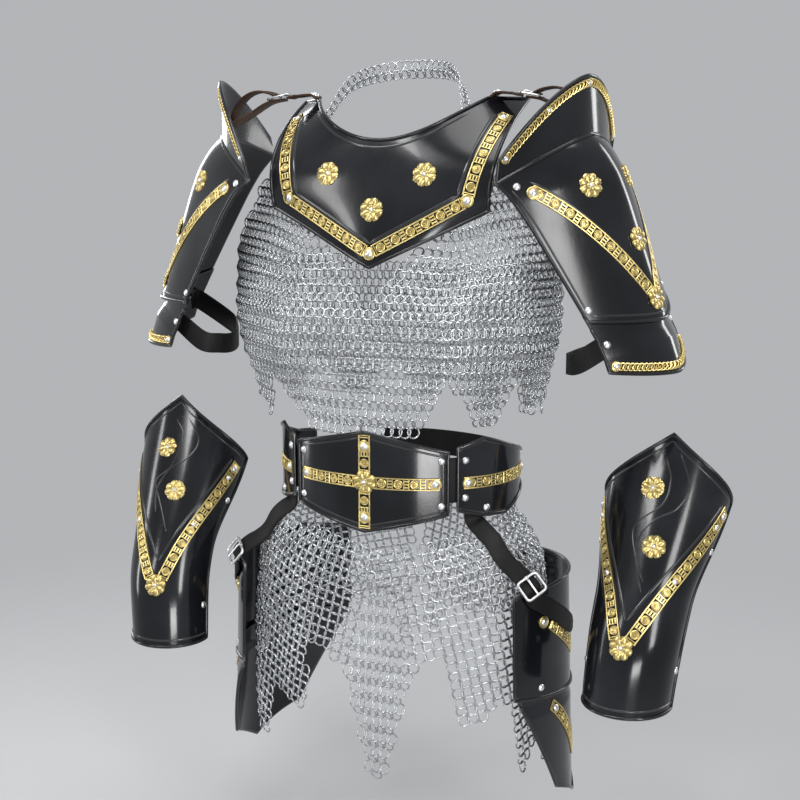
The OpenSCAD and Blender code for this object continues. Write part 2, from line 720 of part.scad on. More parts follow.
module shoulder_strap(side) {
    color("#4a2f20")
        on_side(side)
            strap([gorget_strap_end, gorget_strap_end + [7, -1, 3.5], under_buckle(-20) + [0, 2, 0],
                under_buckle(-15), under_buckle(-8.8)], Y, shoulder_strap_w, leather_t);
}

module shoulder_buckle(side) {
    color("silver")
        on_side(side)
            translate(buckle_at) rotate([0, buckle_tilt, 0]) translate([0, 0, leather_t / 2 + buckle_gap])
                buckle(shoulder_strap_w);
}

module pauldron_strap(side) {
    seat = plate_t + seat_gap + leather_t / 2 + 0.8;
    foot = above(haute_f, -0.12, 0.15, -seat, 0.01, 0.02);
    color("#4a2f20")
        on_side(side)
            strap([under_buckle(-4), under_buckle(14), buckle_at + [36, 0, -15], foot], Y,
                shoulder_strap_w, leather_t);
}

// The tassets

tasset_flare = 9;
tasset_a = hip_half + tasset_clear;
tasset_b = hip_deep + tasset_clear_front;

function tasset_at(a, z, out = 0) =
    let (g = tasset_flare * (tasset_top_z - z) / (tasset_top_z - tasset_tip_z) + out)
    [(tasset_a + g) * sin(a), -(tasset_b + g) * cos(a), z];
function tasset_a_of(u, half) = tasset_mid + u * half;
upper_f = function(u, v) tasset_at(tasset_a_of(u, tasset_half),
    mix(tasset_seam_z - 8 * (1 - abs(u)), tasset_top_z + 8 * (1 - abs(u) ^ 2), v));
lower_half = [[tasset_tip_z, tasset_half * 0.4], [tasset_seam_z - 10, tasset_half * 0.93],
    [0, tasset_half * 0.93]];
lower_step = [[tasset_seam_z - 24, 0], [tasset_seam_z - 10, -1]];
function lower_at(u, z) =
    tasset_at(tasset_a_of(u, lookup(z, lower_half)), z, slide_in(u) * lookup(z, lower_step));
lower_f = function(u, v) lower_at(u, mix(tasset_tip_z + 30 * abs(u), tasset_seam_z + 8, v));
lower_uz = function(u, z) lower_at(u, z);
tasset_az = function(a, z) tasset_at(a, z);

module tasset_upper(side) {
    color("#15161a") on_side(side) skin(upper_f, steps(-1, 1, 14), steps(0, 1, 3), plate_t, 0.01, 0.01);
}

module tasset_lower(side) {
    color("#15161a")
        on_side(side)
            skin(lower_f, steps(-1, 1, 12), [0, 0.2, 0.4, 0.6, 0.75, 0.82, 0.9, 1], plate_t, 0.01, 0.01);
}

// The gold strips of both plates form a V, given by its start and its apex from the middle
upper_strip = [[27, tasset_top_z - 36], [2.6, tasset_top_z - 81]];
lower_strip = [[0.62, tasset_seam_z - 16], [0.07, tasset_seam_z - 90]];

module tasset_upper_trim(side) {
    color("goldenrod")
        on_side(side)
            for (hand = [-1, 1])
                laid_band(tasset_az, function(t) let (p = mix(upper_strip[0], upper_strip[1], t))
                    [tasset_mid + hand * p[0], p[1]], 6, strip_w, -bed - 0.3, strip_t, 0.5, 1);
}

module tasset_lower_trim(side) {
    color("goldenrod")
        on_side(side)
            for (hand = [-1, 1])
                laid_band(lower_uz, function(t) let (p = mix(lower_strip[0], lower_strip[1], t))
                    [hand * p[0], p[1]], 8, strip_w, -bed - 0.3, strip_t, 0.01, 1);
}

module tasset_upper_rivets(side) {
    color("silver")
        on_side(side)
            for (hand = [-1, 1]) {
                rivet_on(tasset_az, tasset_mid + hand * (upper_strip[0][0] + 4.5), upper_strip[0][1] + 4,
                    0.5, 1);
                rivet_on(tasset_az, tasset_mid + hand * (tasset_half - 13), tasset_seam_z + 8, 0.5, 1);
            }
}

module tasset_lower_rivets(side) {
    color("silver")
        on_side(side)
            for (hand = [-1, 1])
                facing(above(lower_uz, hand * 0.58, tasset_seam_z - 21, strip_t * 0.6, 0.01, 1),
                    normal_at(lower_uz, hand * 0.58, tasset_seam_z - 21, 0.01, 1)) rivet();
}

// The strap comes from behind the belt's side plate and ends in a loose tail over the tasset
module tasset_strap(side) {
    rise = leather_t / 2 + strip_t + 0.7;
    under = belt_in + leather_t / 2;
    start = tasset_mid - tasset_half + 8;
    points = concat([belt_at(53.5, -29, -under - 1.8), belt_at(54.5, -41, -under - 1.2)],
        [for (p = [[55.5, -48, 6], [57, -60, 5.5], [59, -82, 5.5]]) skirt_at(p[0] - skirt_turn, p[1], -p[2])],
        [tasset_at(start - 1.5, tasset_top_z + 11, rise + 1)],
        [for (t = steps(0, 1, 6)) tasset_at(start + 32 * t, tasset_top_z - 2 - 53 * t, rise)]);
    out = [for (p = points) unit([p[0] / (tasset_a * tasset_a), p[1] / (tasset_b * tasset_b), 0])];
    color("#1d1512")
        on_side(side)
            band(points, out, tasset_strap_w, -leather_t / 2, leather_t / 2, 0.3);
}

// The bracers

bracer_lean = [0.1, 0.526];
bracer_bend = 75;
bracer_soft = 12;
bracer_cuff = 16;
bracer_cover = 92;
bracer_strap_h = [40, 150];
bracer_splay = 25;

function bracer_front(h) =
    -93 + bracer_lean[0] * h + bracer_lean[1] * bracer_soft * ln(1 + exp((h - bracer_bend) / bracer_soft));
function bracer_r(h) = wrist_r + 0.035 * h + (h > 100 ? bracer_cuff * (1 - bell(h - 100, 60)) : 0);
function bracer_at(a, h) =
    let (r = bracer_r(h))
    [bracer_x + bracer_splay * max(0, h / bracer_len) ^ 1.15 + r * sin(a),
        bracer_front(h) + r * (1 - cos(a)), wrist_z + h];
function bracer_high(a) = bracer_len - bracer_drop * (abs(a) / 80) ^ 0.95;
bracer_f = function(u, v) bracer_at(u * bracer_cover, bracer_high(u * bracer_cover) * v);
bracer_ah = function(a, h) bracer_at(a, h);
bracer_apex = [-8, 70];
bracer_strip_top = [75, 190];
bracer_rosettes_left = [[-8, 216], [4.5, 163]];
bracer_rosettes_right = [[6.5, 212], [-11.5, 168]];

module bracer_shell(side) {
    color("#15161a") on_side(side) skin(bracer_f, steps(-1, 1, 18), steps(0, 1, 10), plate_t, 0.01, 0.005);
}

module bracer_trims() {
    color("goldenrod")
        for (side = ["left", "right"])
            on_side(side) {
                for (hand = [-1, 1])
                    laid_band(bracer_ah, function(t) mix([hand * bracer_strip_top[0], bracer_strip_top[1]],
                        bracer_apex + [hand * 9, 7], t), 12, strip_w, -bed - 0.4, strip_t, 0.5, 1);
                for (p = concat([bracer_apex], side == "left" ? bracer_rosettes_left : bracer_rosettes_right))
                    rosette_on(bracer_ah, p[0], p[1], 0.5, 1);
            }
}

// Two straps join the long edges of each bracer behind
module bracer_straps() {
    out = plate_t + seat_gap + leather_t / 2 + 1.8;
    color("#1d1512")
        for (side = ["left", "right"])
            on_side(side)
                for (h = bracer_strap_h)
                    strap([for (a = steps(bracer_cover - 14, 374 - bracer_cover, 14))
                        above(bracer_ah, a, h, -out, 0.5, 1)], Z, bracer_strap_w, leather_t);
}

module bracer_hardware() {
    color("silver")
        for (side = ["left", "right"])
            on_side(side)
                for (hand = [-1, 1]) {
                    for (h = bracer_strap_h)
                        rivet_on(bracer_ah, hand * (bracer_cover - 8), h, 0.5, 1);
                    facing(above(bracer_ah, hand * (bracer_strip_top[0] - 2), bracer_strip_top[1] - 5,
                        strip_t * 0.6, 0.5, 1),
                        normal_at(bracer_ah, hand * bracer_strip_top[0], bracer_strip_top[1], 0.5, 1)) rivet();
                }
}

gorget_plate();
gorget_trim();
gorget_rivets();
mail_top();
neck_mail();
belt_front_plate();
belt_cross();
belt_rivets();
belt_side_plate("left");  // belt_side_plate_left
belt_side_plate("right");  // belt_side_plate_right
belt_side_trim("left");  // belt_side_trim_left
belt_side_trim("right");  // belt_side_trim_right
belt_side_rivets("left");  // belt_side_rivets_left
belt_side_rivets("right");  // belt_side_rivets_right
belt_hinges();
belt_back_strap();
belt_back_buckle();
mail_skirt();
skirt_dagger();
shoulder_strap("left");  // shoulder_strap_left
shoulder_strap("right");  // shoulder_strap_right
shoulder_buckle("left");  // shoulder_buckle_left
shoulder_buckle("right");  // shoulder_buckle_right
pauldron_strap("left");  // pauldron_strap_left
pauldron_strap("right");  // pauldron_strap_right
pauldron_cop("left");  // pauldron_cop_left
pauldron_cop("right");  // pauldron_cop_right
haute_piece("left");  // haute_piece_left
haute_piece("right");  // haute_piece_right
pauldron_trim("left");  // pauldron_trim_left
pauldron_trim("right");  // pauldron_trim_right
pauldron_rivets("left");  // pauldron_rivets_left
pauldron_rivets("right");  // pauldron_rivets_right
lame("left");  // lame_left
lame("right");  // lame_right
lame_trim("left");  // lame_trim_left
lame_trim("right");  // lame_trim_right
lame_rivets("left");  // lame_rivets_left
lame_rivets("right");  // lame_rivets_right
arm_strap("left");  // arm_strap_left
arm_strap("right");  // arm_strap_right
tasset_strap("left");  // tasset_strap_left
tasset_strap("right");  // tasset_strap_right
tasset_upper("left");  // tasset_upper_left
tasset_upper("right");  // tasset_upper_right
tasset_lower("left");  // tasset_lower_left
tasset_lower("right");  // tasset_lower_right
tasset_upper_trim("left");  // tasset_upper_trim_left
tasset_upper_trim("right");  // tasset_upper_trim_right
tasset_lower_trim("left");  // tasset_lower_trim_left
tasset_lower_trim("right");  // tasset_lower_trim_right
tasset_upper_rivets("left");  // tasset_upper_rivets_left
tasset_upper_rivets("right");  // tasset_upper_rivets_right
tasset_lower_rivets("left");  // tasset_lower_rivets_left
tasset_lower_rivets("right");  // tasset_lower_rivets_right
bracer_shell("left");  // bracer_shell_left
bracer_shell("right");  // bracer_shell_right
bracer_trims();
bracer_straps();
bracer_hardware();
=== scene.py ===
"""A suit of ring mail and blackened plate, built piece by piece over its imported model."""
import json
import math
import sys

import bpy
import numpy as np
from mathutils import Vector
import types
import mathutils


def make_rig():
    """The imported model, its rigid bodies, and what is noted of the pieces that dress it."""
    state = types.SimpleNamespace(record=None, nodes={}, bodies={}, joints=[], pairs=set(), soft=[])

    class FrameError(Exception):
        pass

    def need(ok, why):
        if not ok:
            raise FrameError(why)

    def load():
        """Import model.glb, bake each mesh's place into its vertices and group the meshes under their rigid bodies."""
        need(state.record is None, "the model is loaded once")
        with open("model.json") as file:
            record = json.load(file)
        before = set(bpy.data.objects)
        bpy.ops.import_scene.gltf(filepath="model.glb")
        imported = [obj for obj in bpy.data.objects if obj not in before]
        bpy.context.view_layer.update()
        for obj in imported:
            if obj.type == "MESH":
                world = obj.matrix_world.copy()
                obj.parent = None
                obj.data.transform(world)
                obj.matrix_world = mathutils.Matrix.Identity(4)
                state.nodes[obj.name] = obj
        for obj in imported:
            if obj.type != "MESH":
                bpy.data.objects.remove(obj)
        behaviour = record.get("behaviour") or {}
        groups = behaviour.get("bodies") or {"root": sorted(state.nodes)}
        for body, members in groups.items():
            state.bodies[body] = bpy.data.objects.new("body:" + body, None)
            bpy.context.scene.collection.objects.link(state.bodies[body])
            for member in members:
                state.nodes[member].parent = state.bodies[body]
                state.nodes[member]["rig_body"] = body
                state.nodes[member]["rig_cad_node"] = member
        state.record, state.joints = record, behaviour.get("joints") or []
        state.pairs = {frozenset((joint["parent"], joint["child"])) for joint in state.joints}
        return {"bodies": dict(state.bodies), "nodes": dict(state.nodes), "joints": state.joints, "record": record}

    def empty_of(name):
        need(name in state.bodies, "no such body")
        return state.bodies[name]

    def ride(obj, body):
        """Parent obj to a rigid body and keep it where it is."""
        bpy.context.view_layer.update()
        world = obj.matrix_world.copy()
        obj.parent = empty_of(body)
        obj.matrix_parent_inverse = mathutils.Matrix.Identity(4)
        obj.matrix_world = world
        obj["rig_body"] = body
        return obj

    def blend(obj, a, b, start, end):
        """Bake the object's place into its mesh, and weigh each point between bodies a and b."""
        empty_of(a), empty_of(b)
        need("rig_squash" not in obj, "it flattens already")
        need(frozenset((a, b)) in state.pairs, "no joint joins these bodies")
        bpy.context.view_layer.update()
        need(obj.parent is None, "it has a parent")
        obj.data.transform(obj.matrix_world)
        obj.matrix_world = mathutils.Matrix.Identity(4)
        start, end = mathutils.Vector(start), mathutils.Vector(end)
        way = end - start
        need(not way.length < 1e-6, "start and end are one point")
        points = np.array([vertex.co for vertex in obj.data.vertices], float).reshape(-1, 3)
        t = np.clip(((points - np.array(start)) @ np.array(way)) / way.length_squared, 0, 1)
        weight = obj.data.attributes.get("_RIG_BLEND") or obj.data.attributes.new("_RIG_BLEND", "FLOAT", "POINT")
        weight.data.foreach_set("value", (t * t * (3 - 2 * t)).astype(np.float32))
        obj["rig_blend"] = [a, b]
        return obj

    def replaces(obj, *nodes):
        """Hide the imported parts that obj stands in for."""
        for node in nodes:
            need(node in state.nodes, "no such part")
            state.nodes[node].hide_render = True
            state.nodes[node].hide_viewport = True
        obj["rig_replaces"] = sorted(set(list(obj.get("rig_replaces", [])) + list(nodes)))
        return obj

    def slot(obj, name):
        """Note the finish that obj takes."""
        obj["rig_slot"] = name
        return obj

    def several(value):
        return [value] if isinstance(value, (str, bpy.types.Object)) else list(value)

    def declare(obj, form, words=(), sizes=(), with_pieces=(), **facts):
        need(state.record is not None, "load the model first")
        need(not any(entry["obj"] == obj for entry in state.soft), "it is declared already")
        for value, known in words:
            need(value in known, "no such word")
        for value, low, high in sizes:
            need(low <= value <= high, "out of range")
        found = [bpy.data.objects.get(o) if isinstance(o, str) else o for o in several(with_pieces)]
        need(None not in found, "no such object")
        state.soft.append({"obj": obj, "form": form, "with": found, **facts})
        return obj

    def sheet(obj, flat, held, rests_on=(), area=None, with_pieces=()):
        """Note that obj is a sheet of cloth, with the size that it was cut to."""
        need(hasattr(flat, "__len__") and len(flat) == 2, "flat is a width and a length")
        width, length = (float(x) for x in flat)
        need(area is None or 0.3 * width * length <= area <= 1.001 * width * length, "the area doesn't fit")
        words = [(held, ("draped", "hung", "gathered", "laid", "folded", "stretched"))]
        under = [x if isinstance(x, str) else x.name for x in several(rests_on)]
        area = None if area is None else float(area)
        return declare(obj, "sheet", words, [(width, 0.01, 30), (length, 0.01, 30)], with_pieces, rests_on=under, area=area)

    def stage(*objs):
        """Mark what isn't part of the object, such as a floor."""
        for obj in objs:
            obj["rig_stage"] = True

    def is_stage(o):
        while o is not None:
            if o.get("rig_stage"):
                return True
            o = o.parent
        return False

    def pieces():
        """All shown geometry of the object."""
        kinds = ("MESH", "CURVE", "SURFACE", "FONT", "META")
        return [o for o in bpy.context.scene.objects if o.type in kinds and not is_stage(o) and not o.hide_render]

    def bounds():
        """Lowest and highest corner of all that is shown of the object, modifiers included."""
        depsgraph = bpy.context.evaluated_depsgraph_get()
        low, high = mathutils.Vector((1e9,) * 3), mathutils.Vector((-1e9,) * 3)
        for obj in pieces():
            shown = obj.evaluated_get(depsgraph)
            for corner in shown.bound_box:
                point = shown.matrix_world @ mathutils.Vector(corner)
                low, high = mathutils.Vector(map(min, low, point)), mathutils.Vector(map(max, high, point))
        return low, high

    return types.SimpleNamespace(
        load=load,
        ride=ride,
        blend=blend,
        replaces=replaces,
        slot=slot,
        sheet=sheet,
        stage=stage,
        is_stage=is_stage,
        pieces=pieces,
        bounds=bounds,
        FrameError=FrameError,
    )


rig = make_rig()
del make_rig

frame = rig.load()

bl_info = {
    "name": "Mail and Plate Suit",
    "version": (1, 0, 0),
    "blender": (4, 5, 0),
    "location": "View3D > Sidebar > Mail Suit",
    "description": "Builds a suit of ring mail and blackened plate with gold trims",
    "category": "Add Mesh",
}

MM = 0.001
SIDES = ("left", "right")
UP = [0, 0, 1]
PLATE_T, PLAY, LEATHER_T = 1.6, 0.3, 2.4  # thickness of plates and leather, and the play between them


# Small maths. All lengths are in millimetres until a piece is made.


def unit(v):
    return v / np.maximum(np.linalg.norm(v, axis=-1, keepdims=True), 1e-12)


def squared(n, t):
    """Directions n, turned until they stand square on the directions t."""
    return unit(n - t * (n * t).sum(1, keepdims=True))


def xyz(x, y, z):
    return np.stack(np.broadcast_arrays(x, y, z), -1).astype(float)


def mix(a, b, t):
    return a + (b - a) * t


def sin(a):
    return np.sin(np.radians(a))


def cos(a):
    return np.cos(np.radians(a))


def bell(t, s):
    return np.exp(-((t / s) ** 2))


def wrap(a):
    return (np.asarray(a, float) + 180) % 360 - 180


def straight(rows):
    """A line through a table of places, straight between them and level beyond its ends."""
    x, y = np.array(rows, float).T
    return lambda at: np.interp(at, x, y)


def smooth(rows):
    """A line through a table of places that bends softly and never overshoots them."""
    x, y = np.array(rows, float).T
    width = np.diff(x)
    slope = np.diff(y) / width
    rise = np.zeros(len(x))
    same = slope[1:] * slope[:-1] > 0
    a, b = 2 * width[1:] + width[:-1], width[1:] + 2 * width[:-1]
    with np.errstate(divide="ignore", invalid="ignore"):
        mean = (a + b) / (a / slope[:-1] + b / slope[1:])
    rise[1:-1][same] = mean[same]
    rise[0], rise[-1] = slope[0], slope[-1]

    def at(place):
        place = np.clip(np.asarray(place, float), x[0], x[-1])
        i = np.clip(np.searchsorted(x, place, "right") - 1, 0, len(x) - 2)
        h = width[i]
        t = (place - x[i]) / h
        return (
            y[i] * (1 + 2 * t) * (1 - t) ** 2
            + h * rise[i] * t * (1 - t) ** 2
            + y[i + 1] * t * t * (3 - 2 * t)
            + h * rise[i + 1] * t * t * (t - 1)
        )

    return at


def heading(path, closed=False):
    if closed:
        return unit(np.roll(path, -1, 0) - np.roll(path, 1, 0))
    return unit(np.gradient(path, axis=0))


def lengths(path):
    return np.concatenate([[0], np.cumsum(np.linalg.norm(np.diff(path, axis=0), axis=1))])


def between(at, s, rows):
    """Rows of three numbers that are given at the lengths s, read off at other lengths."""
    return np.stack([np.interp(at, s, rows[:, k]) for k in range(3)], 1)


def curved(points, count):
    """A soft curve through a few points, as count places at equal distances."""
    points = np.array(points, float)
    ends = np.concatenate([[2 * points[0] - points[1]], points, [2 * points[-1] - points[-2]]])
    out = []
    for i in range(1, len(ends) - 2):
        a, b, c, d = ends[i - 1 : i + 3]
        t = np.linspace(0, 1, 24, endpoint=False)[:, None]
        out.append(0.5 * (2 * b + (c - a) * t + (2 * a - 5 * b + 4 * c - d) * t**2
                          + (3 * b - a - 3 * c + d) * t**3))
    path = np.concatenate(out + [points[-1:]])
    s = lengths(path)
    return between(np.linspace(0, s[-1], count), s, path)


class Face:
    """A surface f(u, v) with its outward normal, on the side from which u runs right and v up."""

    def __init__(self, f, du=0.01, dv=0.01):
        self.f, self.du, self.dv = f, du, dv

    def normal(self, u, v):
        along = self.f(u + self.du, v) - self.f(u - self.du, v)
        return unit(np.cross(along, self.f(u, v + self.dv) - self.f(u, v - self.dv)))

    def at(self, u, v, up=0.0):
        u, v = np.asarray(u, float), np.asarray(v, float)
        return self.f(u, v) + up * self.normal(u, v)

    def line(self, path, count=40):
        """The line over the surface that path(t) gives as places (u, v), for t from 0 to 1."""
        u, v = np.broadcast_arrays(*path(np.linspace(0, 1, count)))
        return Line(self.at(u, v), self.normal(u, v))


class Line:
    """A line of points with normals, on which flat work is laid: x along it, y across it, z up."""

    def __init__(self, points, normals):
        self.p = np.asarray(points, float)
        t = heading(self.p)
        self.n = squared(unit(np.broadcast_to(np.asarray(normals, float), self.p.shape)), t)
        self.side = np.cross(self.n, t)
        self.s = lengths(self.p)
        self.length = self.s[-1]

    def lay(self, part):
        v, faces = part
        x = v[:, 0]
        p, n, side = (between(x, self.s, rows) for rows in (self.p, self.n, self.side))
        over = x - np.clip(x, 0, self.length)
        return p + v[:, 1:2] * side + v[:, 2:] * n + over[:, None] * np.cross(side, n), faces


# Parts are pairs of points and of lists of faces.


def merge(*parts):
    points, faces, count = [], [], 0
    for v, f in parts:
        points.append(v)
        faces += [np.asarray(q) + count for q in f]
        count += len(v)
    return np.concatenate(points), faces


def mirrored(part):
    v, faces = part
    return v * [-1, 1, 1], [q[:, ::-1] for q in faces]


def on(side, part):
    return part if side == "left" else mirrored(part)


def moved(part, x=0.0, z=0.0):
    return part[0] + [x, 0, z], part[1]


def tube(rows, count, closed=False):
    """The faces between loops of count points each, which lie one after the other."""
    i, j = np.arange(rows if closed else rows - 1)[:, None] * count, np.arange(count)
    after, k = (i + count) % (rows * count), (j + 1) % count
    return np.stack([i + j, i + k, after + k, after + j], -1).reshape(-1, 4)


FLIPPED = [0, 3, 2, 1]  # the order of a face's corners that turns it over


def sweep(path, normals, section, closed=False, scale=1.0):
    """A solid bar: a closed section of places (across, up), carried along a path."""
    path, section = np.asarray(path, float), np.asarray(section, float)
    m, k = len(path), len(section)
    t = heading(path, closed)
    n = squared(np.broadcast_to(np.asarray(normals, float), path.shape), t)
    side = np.cross(n, t)
    size = np.broadcast_to(scale, (m,))[:, None, None]
    v = path[:, None] + size * (section[:, :1] * side[:, None] + section[:, 1:] * n[:, None])
    faces = [tube(m, k, closed)]
    if not closed:
        faces += [np.arange(k)[None, ::-1], (m - 1) * k + np.arange(k)[None]]
    return v.reshape(-1, 3), faces


def oval(wide, high, count=8):
    a = np.arange(count) * 2 * math.pi / count
    return np.stack([wide * np.cos(a), high * np.sin(a)], 1)


def cushion(width, thick, soft, count=3):
    """A flat bar's outline with rounded corners."""
    out = []
    for cx, cy, start in ((1, 1, 0), (-1, 1, 90), (-1, -1, 180), (1, -1, 270)):
        for a in np.linspace(start, start + 90, count + 1):
            out.append([cx * (width / 2 - soft) + soft * cos(a), cy * (thick / 2 - soft) + soft * sin(a)])
    return np.array(out)


def lathe(profile, count=20):
    """A turned solid from places (radius, height), from the top's middle to the foot's."""
    a = np.arange(count) * 2 * math.pi / count
    r, z = np.array(profile, float).T[:, :, None]
    r = np.maximum(r, 1e-3)
    v = xyz(r * np.cos(a), r * np.sin(a), z)
    return v.reshape(-1, 3), [tube(len(r), count)[:, FLIPPED], np.arange(count)[None],
                              (len(r) - 1) * count + np.arange(count)[None, ::-1]]


def many(part, p, x, y, z):
    """Copies of a part at places p, with their own axes x, y and z."""
    v, faces = part
    p, x, y, z = (np.reshape(q, (-1, 1, 3)) for q in (p, x, y, z))
    out = p + v[None, :, :1] * x + v[None, :, 1:2] * y + v[None, :, 2:] * z
    first = np.arange(len(p))[:, None, None] * len(v)
    return out.reshape(-1, 3), [(q[None] + first).reshape(-1, q.shape[1]) for q in faces]


def facing(part, p, n):
    """Copies of a part on places p with its +z along the normals n."""
    p, n = np.reshape(p, (-1, 3)), unit(np.reshape(n, (-1, 3)))
    x = unit(np.cross(n, [0.3, 0.2, 1.0]))
    return many(part, p, x, np.cross(n, x), n)


def shell(face, us, rows, s, tucked=1.0):
    """A plate behind a surface, with a rolled rim round its edge that stands outwards.

    The rim is left plain above the share of the height where the plate is tucked in."""
    u, v = np.meshgrid(us, np.linspace(0, 1, rows))
    outer, n = face.at(u, v).reshape(-1, 3), face.normal(u, v).reshape(-1, 3)
    g = np.arange(u.size).reshape(u.shape)
    quads = np.stack([g[:-1, :-1], g[:-1, 1:], g[1:, 1:], g[1:, :-1]], -1).reshape(-1, 4)
    loop = np.concatenate([g[0, :-1], g[:-1, -1], g[-1, :0:-1], g[:0:-1, 0]])
    ahead = np.roll(loop, -1)
    walls = np.stack([ahead, loop, loop + g.size, ahead + g.size], 1)
    plate = np.concatenate([outer, outer - PLATE_T * n]), [quads, quads[:, ::-1] + g.size, walls]
    rim = s.rim_r / MM
    size = np.where(loop // len(us) / (rows - 1) > tucked, 0.45, 1.0)
    path = outer[loop] - (PLATE_T - rim * size)[:, None] * n[loop]
    return merge(plate, sweep(path, n[loop], oval(rim, rim, 10), closed=True, scale=size))


def bead(line, radius):
    """A low raised ridge along a line."""
    scale = np.minimum(1, np.minimum(line.s, line.length - line.s) / 6 + 0.15)
    return sweep(line.p, line.n, oval(radius * 1.3, radius), scale=scale)


def link(rx, ry, wire):
    """A closed oval of round wire that lies flat."""
    a = np.arange(20) * 18
    return sweep(xyz(rx * cos(a), ry * sin(a), 0), UP, oval(wire, wire, 7), closed=True)


# Ornaments, laid flat with z up


def rivet_head(r=4.0, h=2.2):
    return lathe([(0, h), (0.35 * r, 0.93 * h), (0.66 * r, 0.68 * h), (0.88 * r, 0.34 * h),
                  (0.97 * r, 0.1 * h), (r, 0), (r, -0.6), (0, -0.6)])


def rosette(r, t):
    """A flower of eight petals, each with a dome of its own, round a dished middle."""
    petals, steps, foot = 8, 12, -0.8
    count = petals * steps
    s = np.array([0, 0.14, 0.22, 0.28, 0.33, 0.4, 0.5, 0.6, 0.7, 0.8, 0.88, 0.95, 1.0])[:, None]
    a = np.arange(count) * 2 * math.pi / count
    off = np.abs((np.arange(count) / steps + 0.5) % 1 - 0.5) * 2
    far = s * (0.79 + 0.21 * np.sqrt(1 - off**2))
    along, across = (far - 0.65) / 0.37, far * np.sin(off * math.pi / petals) / 0.26
    dome = 0.15 + 0.9 * np.sqrt(np.clip(1 - along**2 - across**2, 0.0, 1))
    dish = 0.35 + 0.5 * (far / 0.3) ** 2
    height = t * mix(dome, dish, np.clip((0.36 - far) / 0.08, 0, 1))
    x, y = r * far * np.cos(a), r * far * np.sin(a)
    v = np.concatenate([xyz(x, y, height), xyz(x[-1:], y[-1:], foot), xyz(x[:1], y[:1], foot)])
    v[0, :, :2] = v[-1, :, :2] = 1e-3 * np.stack([np.cos(a), np.sin(a)], -1)
    return v.reshape(-1, 3), [tube(len(v), count)[:, FLIPPED]]


FLORET = [(0, 1.75), (0.8, 1.6), (1.25, 1.0), (1.75, 0.95), (2.3, 1.45), (2.9, 1.4), (3.3, 0.85), (3.8, 0.9),
          (4.3, 1.2), (4.7, 0.95), (4.8, -0.4), (0, -0.4)]


def strip(length, w):
    """A pierced strip: two rails with round florets between cross bars and short dashes."""
    t, cell, half_dash = 1.4, 18.2, 2.7
    up = t / 2 - 0.15
    rail, bar, dash = cushion(1.5, t + 0.3, 0.5, 2), cushion(1.1, t, 0.35, 1), cushion(1.8, t, 0.5, 2)
    along = lambda a, b, y, section, n=2: sweep(xyz(np.linspace(a, b, n), y, up), UP, section)
    across = lambda x: sweep(xyz(x, np.array([0.8 - w / 2, 0, w / 2 - 0.8]), up), UP, bar)
    parts = [along(0, length, y, rail, max(2, int(length / 3))) for y in (0.75 - w / 2, w / 2 - 0.75)]
    cells = max(1, round(length / cell))
    pitch = length / cells
    for i in range(cells + 1):
        ends = [max(0.5, i * pitch - half_dash), min(length - 0.5, i * pitch + half_dash)]
        parts += [across(x) for x in ends]
        if 0 < i < cells:
            parts += [along(*ends, y, dash) for y in (-3.2, 0, 3.2)]
    middle = (np.arange(cells) + 0.5) * pitch
    return merge(*parts, many(lathe(FLORET, 18), xyz(middle, 0, 0), *np.eye(3)))


def link_chain(length, w):
    """A chain of flat oval links, each lying a little over the next."""
    wire, tip, turn = 0.8, 15, 36
    x = np.linspace(w * 0.35, length - w * 0.35, int((length - w * 0.5) / 4.9))
    ax = np.array([[cos(tip) * cos(turn), cos(tip) * sin(turn), sin(tip)]])
    az = squared(np.array([[-sin(tip), 0, cos(tip)]]), ax)
    return many(link(w * 0.56 - wire, w * 0.42 - wire, wire), xyz(x, 0, 1.6), ax, np.cross(az, ax), az)


def washer(r, t):
    """A round gold seat under a rivet that ends a strip or a chain."""
    return lathe([(0, t), (0.72 * r, t), (0.8 * r, t * 0.75), (0.86 * r, t * 0.75), (0.92 * r, t),
                  (r, t * 0.8), (r, -0.5), (0, -0.5)], 24)


def strap_part(line, width, tip=0.0, holes=()):
    """A leather strap along a line, its end rounded off over the length tip, with punched holes."""
    scale = np.ones(len(line.s))
    if tip:
        scale = np.sqrt(np.clip(1 - np.clip((line.s - (line.length - tip)) / tip, 0, 0.995) ** 2, 0, 1))
    v, faces = sweep(line.p, line.n, cushion(width, LEATHER_T, 0.9))
    local = v.reshape(len(line.p), -1, 3) - line.p[:, None]
    side = line.side[:, None]
    across = (local * side).sum(-1, keepdims=True) * side
    v = (line.p[:, None] + local - across * (1 - scale[:, None, None])).reshape(-1, 3)
    parts = [(v, faces)]
    for y in (1.9 - width / 2, width / 2 - 1.9):
        seam = line.p + line.side * (y * scale)[:, None] + line.n * (LEATHER_T / 2)
        parts.append(sweep(seam[1:-1], line.n[1:-1], oval(0.28, 0.28, 6)))
    hole = lathe([(0, 0.05), (1.5, 0.05), (1.9, 0.22), (2.2, 0.05), (2.2, -0.3), (0, -0.3)], 14)
    return merge(*parts, *[line.lay(moved(hole, x, LEATHER_T / 2)) for x in holes])


def buckle(strap_w):
    """A nickel frame with rounded corners, its hinge bar and its tongue, the strap's way along x."""
    t, bar, corner = 2.6, 3.0, 3.5
    length, width = strap_w * 0.9 + bar, strap_w + bar + 2
    x, y = cushion(length, width, corner, 4).T
    rim = sweep(xyz(x, y, t / 2), UP, oval(bar / 2, t / 2, 10), closed=True)
    back = -length / 2
    bend = [[back - 1, 0, t / 2 + 0.6], [back + 3, 0, t + 0.9], [0, 0, t + 0.7], [length / 2, 0, t + 0.5]]
    tongue = sweep(curved(bend, 16), UP, oval(1.3, 0.9), scale=np.linspace(1.15, 0.8, 16))
    eye = sweep(xyz(back, np.array([-2.2, 2.2]), t / 2), UP, oval(bar / 2 + 0.7, t / 2 + 0.7, 12))
    return merge(rim, tongue, eye)


